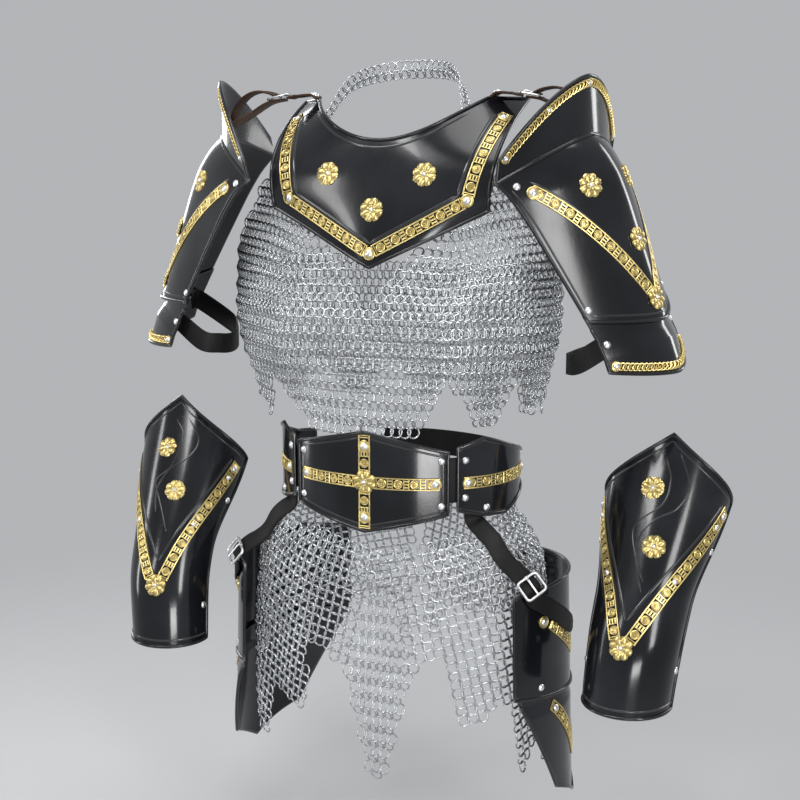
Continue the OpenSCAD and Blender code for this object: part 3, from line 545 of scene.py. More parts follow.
# The surfaces of the suit, as places in millimetres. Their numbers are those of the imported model.


def gorget_at(x, z):
    s, q = (z - 280) / 100, (x / 100) ** 2
    return xyz(x, -80.4 + 21.2 * s + 12.5 * s * s + q * (13.4 - 44.6 * s + 72.1 * s * s), z)


def gorget_side(z):
    return 118 + 0.09 * np.maximum(0, z - 279)


def gorget_f(u, v):
    low = 221 + 58 * np.abs(u)
    high = np.minimum(391, 348.5 + 0.005 * (gorget_side(348.5) * u) ** 2)
    z = mix(low, high, v)
    return gorget_at(gorget_side(z) * u, z)


BELT_A, BELT_B = 135.0, 103.0  # half width and half depth of the belt
UNDER_BELT, FRONT_HALF = -3.1, 38.5  # where straps lie behind its plates, and half the front plate's angle
TASSET_A, TASSET_B, TASSET_MID = 192, 130, 100  # the tassets' oval, and the angle of their middle

top_wide = smooth([[20, 160], [50, 164], [100, 174], [170, 187], [238, 187], [280, 178], [330, 160]])
top_deep = smooth([[20, 100.7], [53, 100.7], [110, 105], [165, 108], [185, 102], [215, 87], [246, 72],
                   [290, 68], [330, 58]])
back_deep = smooth([[20, 90], [170, 100], [330, 80]])
top_flat = smooth([[20, 1.7], [53, 1.7], [130, 1], [400, 1]])
top_edge = straight([[0, 185], [7.5, 216], [16, 247], [24, 277], [33, 318], [42, 320], [54, 312], [60, 281],
                     [74, 238], [90, 228], [180, 216]])
top_hem = straight([[-180, 55], [-165, 105], [-150, 50], [-135, 105], [-120, 52], [-105, 106], [-90, 60],
                    [-75, 104], [-58, 49], [-43, 106], [-20, 46], [16, 46], [31, 118], [46, 51], [62, 119],
                    [75, 62], [85, 114], [98, 60], [112, 106], [126, 52], [140, 105], [153, 50], [167, 105],
                    [180, 55]])


def bust(x, z):
    return 19 * bell(np.abs(x) - 85, 38) * bell(z - 172, np.where(z > 172, 44, 70))


def top_at(a, z):
    a, z = np.broadcast_arrays(np.asarray(a, float), np.asarray(z, float))
    x, c = top_wide(z) * sin(a) - 6 * sin(a) ** 2, cos(a)
    front = -top_deep(z) * np.maximum(c, 0) ** top_flat(z) - bust(x, z) * np.clip(c * 12, 0, 1)
    return xyz(x, np.where(c > 0, front, -back_deep(z) * c), z)


def belt_at(a, z, out=0.0):
    return xyz((BELT_A + out) * sin(a), -(BELT_B + out) * cos(a), z)


def belt_line(a, z, out):
    return Line(belt_at(a, z, out), belt_at(a, 0) * [1, 1, 0])


def front_high(a):
    return mix(53, 33, np.abs(a) / FRONT_HALF)


side_high = straight([[43.5, 37], [58, 46], [100, 20], [115, 17]])
side_low = straight([[43.5, -29], [57, -36], [74, -38], [102, -20], [115, -17]])


def belt_front_f(a, v):
    return belt_at(a, mix(-front_high(a), front_high(a), v))


def belt_side_f(a, v):
    return belt_at(a, mix(side_low(a), side_high(a), v))


skirt_wide = smooth([[-330, 172], [-200, 172], [-100, 165], [-80, 157], [-60, 144], [-46, 132.1], [0, 132.7]])
skirt_deep = smooth([[-330, 121], [-200, 120], [-120, 115], [-72, 108], [-46, 100.1], [0, 100.7]])
skirt_edge = straight([[0, -71], [20, -62], [36, -52], [42, -55], [64, -55], [67, -47], [73, -26], [90, -14],
                       [105, -24], [125, -42], [150, -60], [180, -71]])
skirt_hem = straight([[-180, -270], [-168, -200], [-150, -205], [-130.5, -185], [-128, -262], [-110, -225],
                      [-91, -237], [-76, -238], [-67, -295], [-62.5, -324], [-54, -245], [-31.5, -257],
                      [-29, -177], [-12, -197], [12, -197], [26, -178], [28.5, -188], [31, -260], [48, -243],
                      [57.5, -240], [63.5, -324], [67, -316], [81, -283], [85, -325], [98, -235], [110, -225],
                      [128, -262], [130.5, -185], [150, -205], [168, -200], [180, -270]])


def skirt_at(a, z, inset=0.0):
    w, d, b = skirt_wide(z) - inset, skirt_deep(z) - inset, a + 6.3
    f = 3 * sin(a * 9) * np.clip((-60 - z) / 120, 0, 1)
    return xyz((w + f) * sin(b), -(d + f) * cos(b), z)


RIDGE = np.array([205.0, -13, 411])
DOWN = np.array([0.32801, 0, -0.94467])
OUT = np.array([0.88770, -0.34202, 0.30823])
BACK = np.array([0.32310, 0.93969, 0.11219])
ridge_dip = smooth([[40, -27], [54, -18], [66, -11], [80, -6], [102, -1.5], [134, 0], [400, 0]])


def on_shoulder(a, o, d):
    a, o, d = (np.asarray(q, float)[..., None] for q in np.broadcast_arrays(a, o, d))
    return RIDGE + a * DOWN + o * OUT + d * BACK


def tented(q):
    """How far a plate falls away from its ridge, which is a little rounded."""
    return 0.058 * (np.sqrt(q * q + 9) - 1.6) ** 1.5 - 0.058 * 1.4**1.5


def cop_side(a):
    return 105 - 0.196 * (a - 74)


def cop_low(u):
    return 251 - 21 * np.abs(u) ** 1.5


def cop_high(u):
    return 54 + 20 * np.abs(u) ** 1.3


def cop_au(u, down):
    a, q = -down, np.abs(u) * cop_side(-down)
    return on_shoulder(a, ridge_dip(a) - tented(q), -2 + u * cop_side(a))


def cop_f(u, v):
    return cop_au(u, -mix(cop_low(u), cop_high(u), v))


def haute_f(u, w):
    a0 = cop_high(u) + 0.6
    side = cop_side(a0)
    base = a0, ridge_dip(a0) - tented(np.abs(u) * side)
    rim = 56 * np.abs(u) ** 1.75, -58 * np.abs(u) ** 1.6
    return on_shoulder(mix(base[0], rim[0], w), mix(base[1], rim[1], w), -2 + u * side)


def lame_side(a):
    return cop_side(np.minimum(a, 251)) - 1


def lame_end(u):
    return 306 - 22 * np.abs(u) ** 1.5


lame_step = straight([[256, 1], [271, 0]])


def lame_au(u, down):
    a = -down
    q = np.abs(u) * lame_side(a)
    inset = (2.2 + 3 * (1 - np.abs(u))) * lame_step(a) + 0.6 * np.abs(u)
    return on_shoulder(a, -tented(q) - inset, -2 + u * lame_side(a))


def lame_f(u, v):
    return lame_au(u, -mix(lame_end(u), cop_low(u) - 8, v))


def tasset_at(a, z, out=0.0):
    g = 9 * (-116 - z) / 252 + out
    return xyz((TASSET_A + g) * sin(a), -(TASSET_B + g) * cos(a), z)


def upper_f(u, v):
    z = mix(-228 - 8 * (1 - np.abs(u)), -116 + 8 * (1 - u * u), v)
    return tasset_at(TASSET_MID + 46 * u, z)


lower_half = straight([[-368, 18.4], [-238, 42.8], [0, 42.8]])
lower_step = straight([[-252, 0], [-238, -1]])


def lower_uz(u, z):
    return tasset_at(TASSET_MID + u * lower_half(z), z, (2.2 + 3 * (1 - np.abs(u))) * lower_step(z))


def lower_f(u, v):
    return lower_uz(u, mix(-368 + 30 * np.abs(u), -220, v))


def bracer_at(a, h):
    front = -93 + 0.1 * h + 0.526 * 12 * np.log1p(np.exp((h - 75) / 12))
    r = 45 + 0.035 * h + np.where(h > 100, 16 * (1 - bell(h - 100, 60)), 0)
    return xyz(270 + 25 * (np.maximum(0, h) / 268) ** 1.15 + r * sin(a), front + r * (1 - cos(a)), -222 + h)


def bracer_f(u, v):
    return bracer_at(92 * u, (268 - 66 * (np.abs(92 * u) / 80) ** 0.95) * v)


GORGET = Face(gorget_at, 1, 1)
BELT = Face(belt_at, 0.5, 1)
COP = Face(cop_au, 0.01, 1)
HAUTE = Face(haute_f, 0.01, 0.02)
LAME = Face(lame_au, 0.01, 1)
TASSET = Face(tasset_at, 0.5, 1)
LOWER = Face(lower_uz, 0.01, 1)
BRACER = Face(bracer_at, 0.5, 1)


# Finishes


class Num:
    """A number, colour or shader on its way through a tree, which takes part in sums like a number."""

    def __init__(self, tree, socket):
        self.tree, self.socket = tree, socket

    def math(self, operation, *values):
        return self.tree.node("ShaderNodeMath", {"operation": operation}, values)

    def __add__(self, other):
        return self.math("ADD", self, other)

    def __radd__(self, other):
        return self.math("ADD", other, self)

    def __sub__(self, other):
        return self.math("SUBTRACT", self, other)

    def __rsub__(self, other):
        return self.math("SUBTRACT", other, self)

    def __mul__(self, other):
        return self.math("MULTIPLY", self, other)

    def __rmul__(self, other):
        return self.math("MULTIPLY", other, self)

    def ramp(self, low, high):
        """0 below low, 1 above high and a soft step between them."""
        return self.tree.node("ShaderNodeMapRange", {"interpolation_type": "SMOOTHSTEP"},
                              [self, low, high, 0.0, 1.0])


class Tree:
    """The nodes of a finish or of the world, under construction."""

    def __init__(self, owner):
        owner.use_nodes = True
        self.nodes, self.links = owner.node_tree.nodes, owner.node_tree.links
        self.nodes.clear()

    def node(self, kind, settings, inputs, output=0):
        made = self.nodes.new(kind)
        for key, value in settings.items():
            setattr(made, key, value)
        for key, value in inputs.items() if isinstance(inputs, dict) else enumerate(inputs):
            self.give(made.inputs[key], value)
        return Num(self, made.outputs[output])

    def give(self, socket, value):
        if isinstance(value, Num):
            self.links.new(value.socket, socket)
        else:
            socket.default_value = value


class Paint(Tree):
    """A finish under construction, with its closing shader."""

    def __init__(self, name, **constants):
        self.material = bpy.data.materials.new(name)
        super().__init__(self.material)
        self.shader = self.nodes.new("ShaderNodeBsdfPrincipled")
        self.links.new(self.shader.outputs[0], self.nodes.new("ShaderNodeOutputMaterial").inputs[0])
        self.set(**constants)
        self.place = self.node("ShaderNodeTexCoord", {}, [], "Object")

    def noise(self, scale, detail=3.0, stretch=None):
        place = self.place
        if stretch:
            place = self.node("ShaderNodeVectorMath", {"operation": "MULTIPLY"}, [place, stretch])
        return self.node("ShaderNodeTexNoise", {}, {"Vector": place, "Scale": scale, "Detail": detail})

    def cells(self, scale, feature="F1"):
        return self.node("ShaderNodeTexVoronoi", {"feature": feature}, {"Vector": self.place, "Scale": scale})

    def blend(self, share, low, high):
        return self.node("ShaderNodeMix", {"data_type": "RGBA"}, {0: share, 6: low, 7: high}, 2)

    def worn(self):
        """How much a place stands out of its surroundings, about 0.5 where it is flat. It masks the painted shade in
        the gold's hollows, and the bare-metal wear with painted highlight on the steel's edges.
        """
        return self.node("ShaderNodeNewGeometry", {}, [], "Pointiness")

    def set(self, **values):
        for key, value in values.items():
            self.give(self.shader.inputs[key.replace("_", " ")], value)
        return self

    def bump(self, height, strength, distance):
        values = {"Strength": strength, "Distance": distance, "Height": height}
        return self.set(Normal=self.node("ShaderNodeBump", {}, values))


def rgb(colour, k=1.0):
    return (colour[0] * k, colour[1] * k, colour[2] * k, 1.0)


def black_steel(s):
    p = Paint("black_steel", IOR=1.4, Coat_Roughness=0.03)
    cloud, fine = p.noise(11.0), p.noise(420.0, 4.0)
    brushed = p.noise(260.0, 3.0, (1.0, 1.0, 0.08))
    # Painted highlight: rims and beads stand out, so they are made lighter and metallic, partly as bare-metal wear on
    # the edges and partly in place of their highlights.
    rubbed = p.worn().ramp(0.54, 0.64) * (0.5 + 0.5 * cloud)
    dark = p.blend(cloud.ramp(0.35, 0.7), rgb(s.steel), rgb(s.steel, 2.0))
    p.set(Base_Color=p.blend(rubbed, dark, rgb(s.silver, 0.45)), Metallic=rubbed,
          Roughness=0.09 + 0.07 * cloud + 0.06 * brushed, Coat_Weight=0.3 * cloud.ramp(0.3, 0.8))
    return p.bump(0.3 * fine + 0.7 * cloud, 0.06, 0.0012)


def gold_trim(s):
    p = Paint("gold_trim", Metallic=1.0)
    cloud, fine = p.noise(60.0), p.noise(900.0, 3.0)
    # Painted shade: the gold is darkened in its hollows and recesses, where shade falls.
    shade = (p.worn() - 0.42).ramp(0.0, 0.16)
    tone = p.blend(cloud.ramp(0.3, 0.75), rgb(s.gold), rgb(s.gold, 0.78))
    p.set(Base_Color=p.blend(shade, rgb(s.gold, 0.4), tone), Roughness=0.24 + 0.2 * cloud)
    return p.bump(fine, 0.18, 0.0003)


def rivet_metal(s):
    p = Paint("rivet_metal", Metallic=1.0)
    cloud, fine = p.noise(120.0), p.noise(800.0)
    p.set(Base_Color=p.blend(cloud, rgb(s.silver, 0.8), rgb(s.silver)), Roughness=0.26 + 0.14 * cloud)
    return p.bump(fine, 0.08, 0.0003)


def mail_steel(s):
    p = Paint("mail_steel", Metallic=1.0)
    cloud, fine = p.noise(22.0, 2.0), p.noise(700.0)
    drawn = p.noise(300.0, 2.0)
    p.set(Base_Color=p.blend(cloud.ramp(0.3, 0.7), rgb(s.mail, 0.8), rgb(s.mail)),
          Roughness=0.2 + 0.12 * drawn)
    return p.bump(fine, 0.1, 0.0003)


def leather(name, colour):
    p = Paint(name, IOR=1.4, Specular_IOR_Level=0.3)
    grain, pores = p.cells(520.0), p.noise(1400.0, 2.0)
    cloud = p.noise(28.0, 4.0)
    crease = p.cells(150.0, "DISTANCE_TO_EDGE").ramp(0.0, 0.12)
    p.set(Base_Color=p.blend(cloud.ramp(0.25, 0.8), rgb(colour, 0.6), rgb(colour, 1.5)),
          Roughness=0.62 - 0.2 * cloud + 0.08 * pores)
    return p.bump(0.6 * grain + 0.3 * crease + 0.2 * pores, 0.35, 0.0005)


def black_leather(s):
    return leather("black_leather", s.black_hide)


def brown_leather(s):
    return leather("brown_leather", s.brown_hide)


def buckle_nickel(s):
    p = Paint("buckle_nickel", Metallic=1.0)
    cloud, fine = p.noise(90.0), p.noise(600.0)
    p.set(Base_Color=p.blend(cloud, rgb(s.silver, 0.62), rgb(s.silver, 0.9)), Roughness=0.2 + 0.2 * cloud)
    return p.bump(fine, 0.1, 0.0003)


def finish(name):
    """The material of a finish, made when it is first asked for."""
    label = name + "_finish"
    if label not in bpy.data.materials:
        globals()[name](bpy.context.scene.mail_suit).material.name = label
    return bpy.data.materials[label]


def numbered(parts):
    """Parts with the number of their finish, which is 0 for a bare part."""
    return [q if isinstance(q[1], int) else (q, 0) for q in parts]


def make(name, parts, slot, body, nodes=(), others=(), sharp=38.0):
    """Makes one piece: its parts, some of them with the number of another finish, on a body."""
    parts = numbered(parts)
    v, faces = merge(*[part for part, _ in parts])
    kinds = np.concatenate([np.full(sum(len(f) for f in part[1]), k) for part, k in parts])
    data = bpy.data.meshes.new(name)
    data.vertices.add(len(v))
    data.vertices.foreach_set("co", (v * MM).ravel())
    corners = np.concatenate([f.ravel() for f in faces])
    sizes = np.concatenate([np.full(len(f), f.shape[1]) for f in faces])
    data.loops.add(len(corners))
    data.loops.foreach_set("vertex_index", corners.astype(np.int32))
    data.polygons.add(len(sizes))
    data.polygons.foreach_set("loop_start", (np.cumsum(sizes) - sizes).astype(np.int32))
    data.polygons.foreach_set("material_index", kinds.astype(np.int32))
    data.update(calc_edges=True)
    data.polygons.foreach_set("use_smooth", np.ones(len(sizes), bool))
    data.set_sharp_from_angle(angle=math.radians(sharp))
    for kind in (slot, *others):
        data.materials.append(finish(kind))
    piece = bpy.data.objects.new(name, data)
    bpy.context.scene.collection.objects.link(piece)
    if body:
        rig.ride(piece, body)
    if nodes:
        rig.replaces(piece, *([nodes] if isinstance(nodes, str) else nodes))
    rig.slot(piece, slot)
    return piece


def sided(side, name, parts, slot, body, others=()):
    """Makes the piece of one side from parts that are shaped for the left."""
    parts = [(on(side, part), k) for part, k in numbered(parts)]
    make(f"{name}_{side}_form", parts, slot, body, f"{name}_{side}", others)


def studs(face, places, up=0.0, part=None):
    u, v = np.array(places, float).T
    return facing(part or rivet_head(), face.at(u, v, up), face.normal(u, v))


def flowers(face, places, s):
    """Gold rosettes with a silver stud in the middle, at places (u, v) of a face."""
    return [(studs(face, places, part=rosette(s.rosette_r / MM, 2.6)), 0),
            (studs(face, places, part=moved(rivet_head(2.4, 1.9), z=1.5)), 1)]


# Mail


class Cloth:
    """Mail hung on a surface f(a, z) all round: finds places by their distance round it and up it."""

    def __init__(self, f, low, high, level, stretch=None):
        self.f = f
        self.a = np.linspace(-180, 180, 361)
        self.z = np.linspace(low, high, 120)
        p = f(self.a[:, None], self.z[None])
        up = np.concatenate([np.zeros((361, 1)), np.cumsum(np.linalg.norm(np.diff(p, axis=1), axis=2), 1)], 1)
        at = np.array([np.interp(level, self.z, row) for row in up])
        self.up = up - at[:, None]
        row = f(self.a, np.full(361, float(level)))
        step = np.linalg.norm(np.diff(row, axis=0), axis=1)
        self.wide = np.ones(361) if stretch is None else stretch(self.a)
        step = step / ((self.wide[1:] + self.wide[:-1]) / 2)
        self.x = np.concatenate([[0], np.cumsum(step)])
        self.x -= self.x[180]

    def place(self, x, y):
        """Angles and heights at distances x round the surface and y up it."""
        a = np.interp(x, self.x, self.a)
        k = np.clip((a + 180).astype(int), 0, 359)
        w = a + 180 - k
        z = [np.interp(yy, self.up[i] * (1 - t) + self.up[i + 1] * t, self.z) for yy, i, t in zip(y, k, w)]
        return a, np.array(z)


def lattice(cloth, pitch, rise, turn, reach, keep, inset, tilt):
    """Places, row directions and tilts of the rings of a sheet of mail, and where they lie."""
    n = int(reach / min(pitch, rise)) + 2
    j, i = np.meshgrid(np.arange(-n, n + 1), np.arange(-n, n + 1), indexing="ij")
    x, y = (i + 0.5 * (j % 2)) * pitch, j * rise
    sx, sy = (x * cos(turn) - y * sin(turn)).ravel(), (x * sin(turn) + y * cos(turn)).ravel()
    sign = np.where(j % 2, 1.0, -1.0).ravel()
    near = (sx > cloth.x[0]) & (sx <= cloth.x[-1]) & (sy > cloth.up.min()) & (sy < cloth.up.max())
    sx, sy, sign = sx[near], sy[near], sign[near]
    if cloth.wide.max() > 1.001:
        w = np.interp(sx, cloth.x, cloth.wide)
        link = math.hypot(pitch / 2, rise)
        sy = sy * np.sqrt(link**2 - (pitch * w / 2) ** 2) / rise
    a, z = cloth.place(sx, sy)
    use = keep(a, z)
    return rings_at(cloth.f, a[use], z[use], turn, sign[use], inset, tilt), a[use], z[use]


def lowest(hem, a):
    """How low the middles of a hem's last rings lie, a little wider at its points."""
    return np.minimum(hem(a), np.minimum(hem(wrap(a - 1.3)), hem(wrap(a + 1.3)))) + 1.5


def rings_at(f, a, z, turn, sign, inset, tilt):
    p = f(a, z)
    east, north = unit(f(a + 0.2, z) - f(a - 0.2, z)), unit(f(a, z + 0.5) - f(a, z - 0.5))
    n = unit(np.cross(east, north))
    row = unit(east * cos(turn) + np.cross(n, east) * sin(turn))
    up = np.cross(n, row)
    face = unit(n * cos(tilt) + up * (sign * sin(tilt))[:, None])
    return p - inset * n, row, np.cross(face, row), face


def ring_part(s, slim):
    """One ring of the mail, its wire thinner by the share slim."""
    wire = slim * s.wire / MM / 2
    radius = s.ring_inner / MM / 2 + wire
    return link(radius, radius, wire)


def mail_piece(name, axes, use, s, body, nodes, site_area, flat, rests_on, slim=1.0):
    """One sheet of linked rings, declared with the size that it was woven to."""
    part = many(ring_part(s, slim), *[q[use] for q in axes])
    piece = make(name, [part], "mail_steel", body, nodes, sharp=180.0)
    area = float(use.sum() * site_area) * MM * MM
    wide = flat[0]
    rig.sheet(piece, flat=(wide, area / wide / flat[1]), held="hung", rests_on=rests_on, area=area)
    return piece


class SuitSettings(bpy.types.PropertyGroup):
    """Sizes and colours of the suit."""

    ring_inner: bpy.props.FloatProperty(name="Ring bore", description="Inner diameter of a mail ring",
                                        default=0.01, min=0.008, max=0.012, unit="LENGTH")
    wire: bpy.props.FloatProperty(name="Wire", description="Thickness of the mail's wire",
                                  default=0.0018, min=0.001, max=0.002, unit="LENGTH")
    rim_r: bpy.props.FloatProperty(name="Rim", description="Radius of the rolled rims of the plates",
                                   default=0.0019, min=0.001, max=0.0025, unit="LENGTH")
    strip_w: bpy.props.FloatProperty(name="Gold strip", description="Width of the pierced gold strips",
                                     default=0.013, min=0.009, max=0.016, unit="LENGTH")
    chain_w: bpy.props.FloatProperty(name="Gold chain", description="Width of the gold link chains",
                                     default=0.009, min=0.006, max=0.012, unit="LENGTH")
    rosette_r: bpy.props.FloatProperty(name="Rosette", description="Radius of a rosette",
                                       default=0.0125, min=0.007, max=0.014, unit="LENGTH")
    steel: bpy.props.FloatVectorProperty(name="Plate", description="Colour of the blackened plates",
                                         default=(0.005, 0.0053, 0.0068), subtype="COLOR")
    gold: bpy.props.FloatVectorProperty(name="Gold", description="Colour of the gold trims",
                                        default=(0.83, 0.66, 0.27), subtype="COLOR")
    silver: bpy.props.FloatVectorProperty(name="Silver", description="Colour of rivets and buckles",
                                          default=(0.86, 0.86, 0.87), subtype="COLOR")
    mail: bpy.props.FloatVectorProperty(name="Mail", description="Colour of the mail",
                                        default=(0.5, 0.515, 0.53), subtype="COLOR")
    black_hide: bpy.props.FloatVectorProperty(name="Black leather", description="Colour of the black straps",
                                              default=(0.007, 0.0065, 0.0065), subtype="COLOR")
    brown_hide: bpy.props.FloatVectorProperty(name="Brown leather", description="Colour of the brown straps",
                                              default=(0.05, 0.026, 0.014), subtype="COLOR")


def trim(face, path, s, count=30):
    """A pierced strip on a face along path(t)."""
    line = face.line(path, count)
    return line.lay(strip(line.length, s.strip_w / MM))


def chain(face, path, s, count):
    """A chain on a face along path(t)."""
    line = face.line(path, count)
    return line.lay(link_chain(line.length, s.chain_w / MM))


def way(a, b):
    """A straight way between two places (u, v), as a function of t from 0 to 1."""
    return lambda t: (mix(a[0], b[0], t), mix(a[1], b[1], t))


def level(half, height):
    """A way across a face from u = -half to half, at the height(u)."""
    return lambda t: (mix(-half, half, t), height(mix(-half, half, t)))


ON_STRIP, ON_CHAIN = 1.2, 1.3  # how far rivets on gold seats stand off the plate
SMALL_RIVET = 3.4, 2.6


def strip_seat(s):
    return washer(s.strip_w / MM / 2, 1.5)


def chain_seat(s):
    return washer(s.chain_w / MM / 2 + 0.6, 1.2)


class SUIT_OT_gorget(bpy.types.Operator):
    """Builds the gorget with its gold strips, rosettes and rivets"""

    bl_idname = "mail_suit.gorget"
    bl_label = "Gorget"

    def execute(self, context):
        s = context.scene.mail_suit
        plate = shell(Face(gorget_f), np.linspace(-1, 1, 101), 41, s)
        inner = np.array([[0.0, 245.5], [88.5, 293.5], [107.5, 374.0]])
        beads = [bead(GORGET.line(way(inner[i], inner[i + 1])), 1.5) for i in (0, 1)]
        neck = bead(GORGET.line(level(84, lambda x: 341 + 0.005 * x**2), 60), 1.1)
        make("gorget_plate_form", [plate, neck, *beads, *map(mirrored, beads)], "black_steel", "suit",
             "gorget_plate")
        point, corner, top = np.array([0.0, 235.0]), np.array([98.0, 289.0]), np.array([118.0, 374.0])
        inwards, upwards = unit(point - corner), unit(top - corner)
        gold = []
        for a, b in ((corner + inwards * 4.6, point - inwards * 5.2), (corner + upwards * 4.6, top)):
            run = trim(GORGET, way(a, b), s)
            gold += [run, mirrored(run)]
        ends = [point, corner, corner * [-1, 1], top - [2, 3], [2 - top[0], top[1] - 3]]
        gold.append(studs(GORGET, ends, part=strip_seat(s)))
        gold += flowers(GORGET, [(-53, 314.4), (53, 314.4), (0, 279)], s)
        make("gorget_trim_form", gold, "gold_trim", "suit", "gorget_trim", ["rivet_metal"])
        make("gorget_rivets_form", [studs(GORGET, ends, ON_STRIP)], "rivet_metal", "suit", "gorget_rivets")
        return {"FINISHED"}


class SUIT_OT_mail_top(bpy.types.Operator):
    """Weaves the mail top and the halter of mail round the neck"""

    bl_idname = "mail_suit.mail_top"
    bl_label = "Mail top"

    def execute(self, context):
        s = context.scene.mail_suit
        cloth = Cloth(top_at, low=24, high=330, level=150, stretch=lambda a: 0.96 + 0.24 * bell(a, 24))
        girth = cloth.x[-1] - cloth.x[0]
        pitch, rise = girth / round(girth / 8.9), 9.2
        keep = lambda a, z: (z > lowest(top_hem, a)) & (z < top_edge(np.abs(a)) - 4.5)
        axes, a, z = lattice(cloth, pitch, rise, turn=0.0, reach=640, keep=keep, inset=2.9, tilt=17.0)
        quarters = (("front_left", (a >= 0) & (a < 90)), ("front_right", (a < 0) & (a > -90)),
                    ("back_left", a >= 90), ("back_right", a <= -90))
        for i, (name, use) in enumerate(quarters):
            mail_piece(f"mail_top_{name}", axes, use, s, "suit", "mail_top" if i == 0 else (),
                       pitch * rise, (0.27, 0.75), ["gorget_plate_form"])
        self.halter(s)
        return {"FINISHED"}

    def halter(self, s):
        """Two rows of rings that run round the neck from one front corner to the other."""
        pitch, rise, off, tilt = 8.6, 8.8, 4.4, 17.0
        half = np.array([[96, -42, 322], [87, -27, 348], [76, -9, 376], [68, 5, 396], [59, 21, 410],
                         [42, 44, 419], [22, 57, 423], [0, 61, 424]], float)
        points = curved(np.concatenate([half, half[-2::-1] * [-1, 1, 1]]), 200)
        line = Line(points, unit(points - [0, 5, 0] + [0, 0, 25] - points * [0, 0, 1]))
        count = int(line.length / pitch)
        spots = [(x, y, sign) for y, sign, ahead in ((-off, 1, 0.0), (off, -1, 0.5))
                 for x in (np.arange(count) + ahead) * line.length / count]
        x, y, sign = np.array(spots).T
        p, row, n = (between(x, line.s, rows) for rows in (line.p, heading(line.p), line.n))
        side = np.cross(n, row)
        face = unit(n * cos(tilt) + side * (sign * sin(tilt))[:, None])
        axes = (p + side * y[:, None], row, np.cross(face, row), face)
        mail_piece("neck_mail_form", axes, np.ones(len(x), bool), s, "suit", "neck_mail",
                   line.length / count * rise, (0.0176, 1.0), ["gorget_plate_form"])


dense_half = straight([[-322, 1.2], [-198, 11.5], [-190, 11.2], [-92, 2.4], [-84, 0.5]])


class SUIT_OT_mail_skirt(bpy.types.Operator):
    """Weaves the mail skirt, its closer middle dagger among it"""

    bl_idname = "mail_suit.mail_skirt"
    bl_label = "Mail skirt"

    def execute(self, context):
        s = context.scene.mail_suit
        pitch, rise = 14.2, 7.15
        cloth = Cloth(skirt_at, low=-330, high=-12, level=-150)
        inside = lambda a, z: (z > lowest(skirt_hem, a)) & (z < skirt_edge(np.abs(a)) - 4)
        clear = lambda a, z: np.abs(a) > dense_half(z) * np.where(z > -200, 1, 0) + 0.6
        first = True
        for name, hand, turn in (("left", 1, -33.0), ("right", -1, 33.0)):
            keep = lambda a, z: inside(a, z) & clear(a, z) & (a * hand > 0) & (np.abs(a) < 177)
            axes, a, z = lattice(cloth, pitch, rise, turn, reach=760, keep=keep, inset=2.6, tilt=13.0)
            for part, low, high in (("front", 0, 62), ("side", 62, 120), ("back", 120, 181)):
                use = (np.abs(a) >= low) & (np.abs(a) < high)
                mail_piece(f"mail_skirt_{part}_{name}", axes, use, s, "suit", "mail_skirt" if first else (),
                           pitch * rise, (0.17, 0.8), ["belt_front_plate_form"])
                first = False
        self.dagger(s)
        return {"FINISHED"}

    def dagger(self, s):
        """Rows of rings crowded side by side, from the top edge to the tip."""
        pitch, rise, around = 6.1, 8.7, 122
        spots = []
        for j, z in enumerate(np.arange(-316.5, -86, rise)):
            half = dense_half(z) * math.radians(1) * around
            count = max(1, round(2 * (half - 3.5) / pitch) + 1)
            if (count + j) % 2 and j:
                count += 1
            for i in range(count):
                a = (i - (count - 1) / 2) * pitch / around / math.radians(1)
                spots.append((a, z, 1 if j % 2 else -1))
        a, z, sign = np.array(spots, float).T
        axes = rings_at(skirt_at, a, z, 0.0, sign, inset=1.2, tilt=24.0)
        piece = mail_piece("skirt_dagger_form", axes, np.ones(len(a), bool), s, None, "skirt_dagger",
                           pitch * rise, (0.05, 0.6), ["mail_skirt_front_left"], slim=0.82)
        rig.blend(piece, "suit", "dagger", start=(0.0182, -0.113, -0.186), end=(0.0182, -0.113, -0.215))


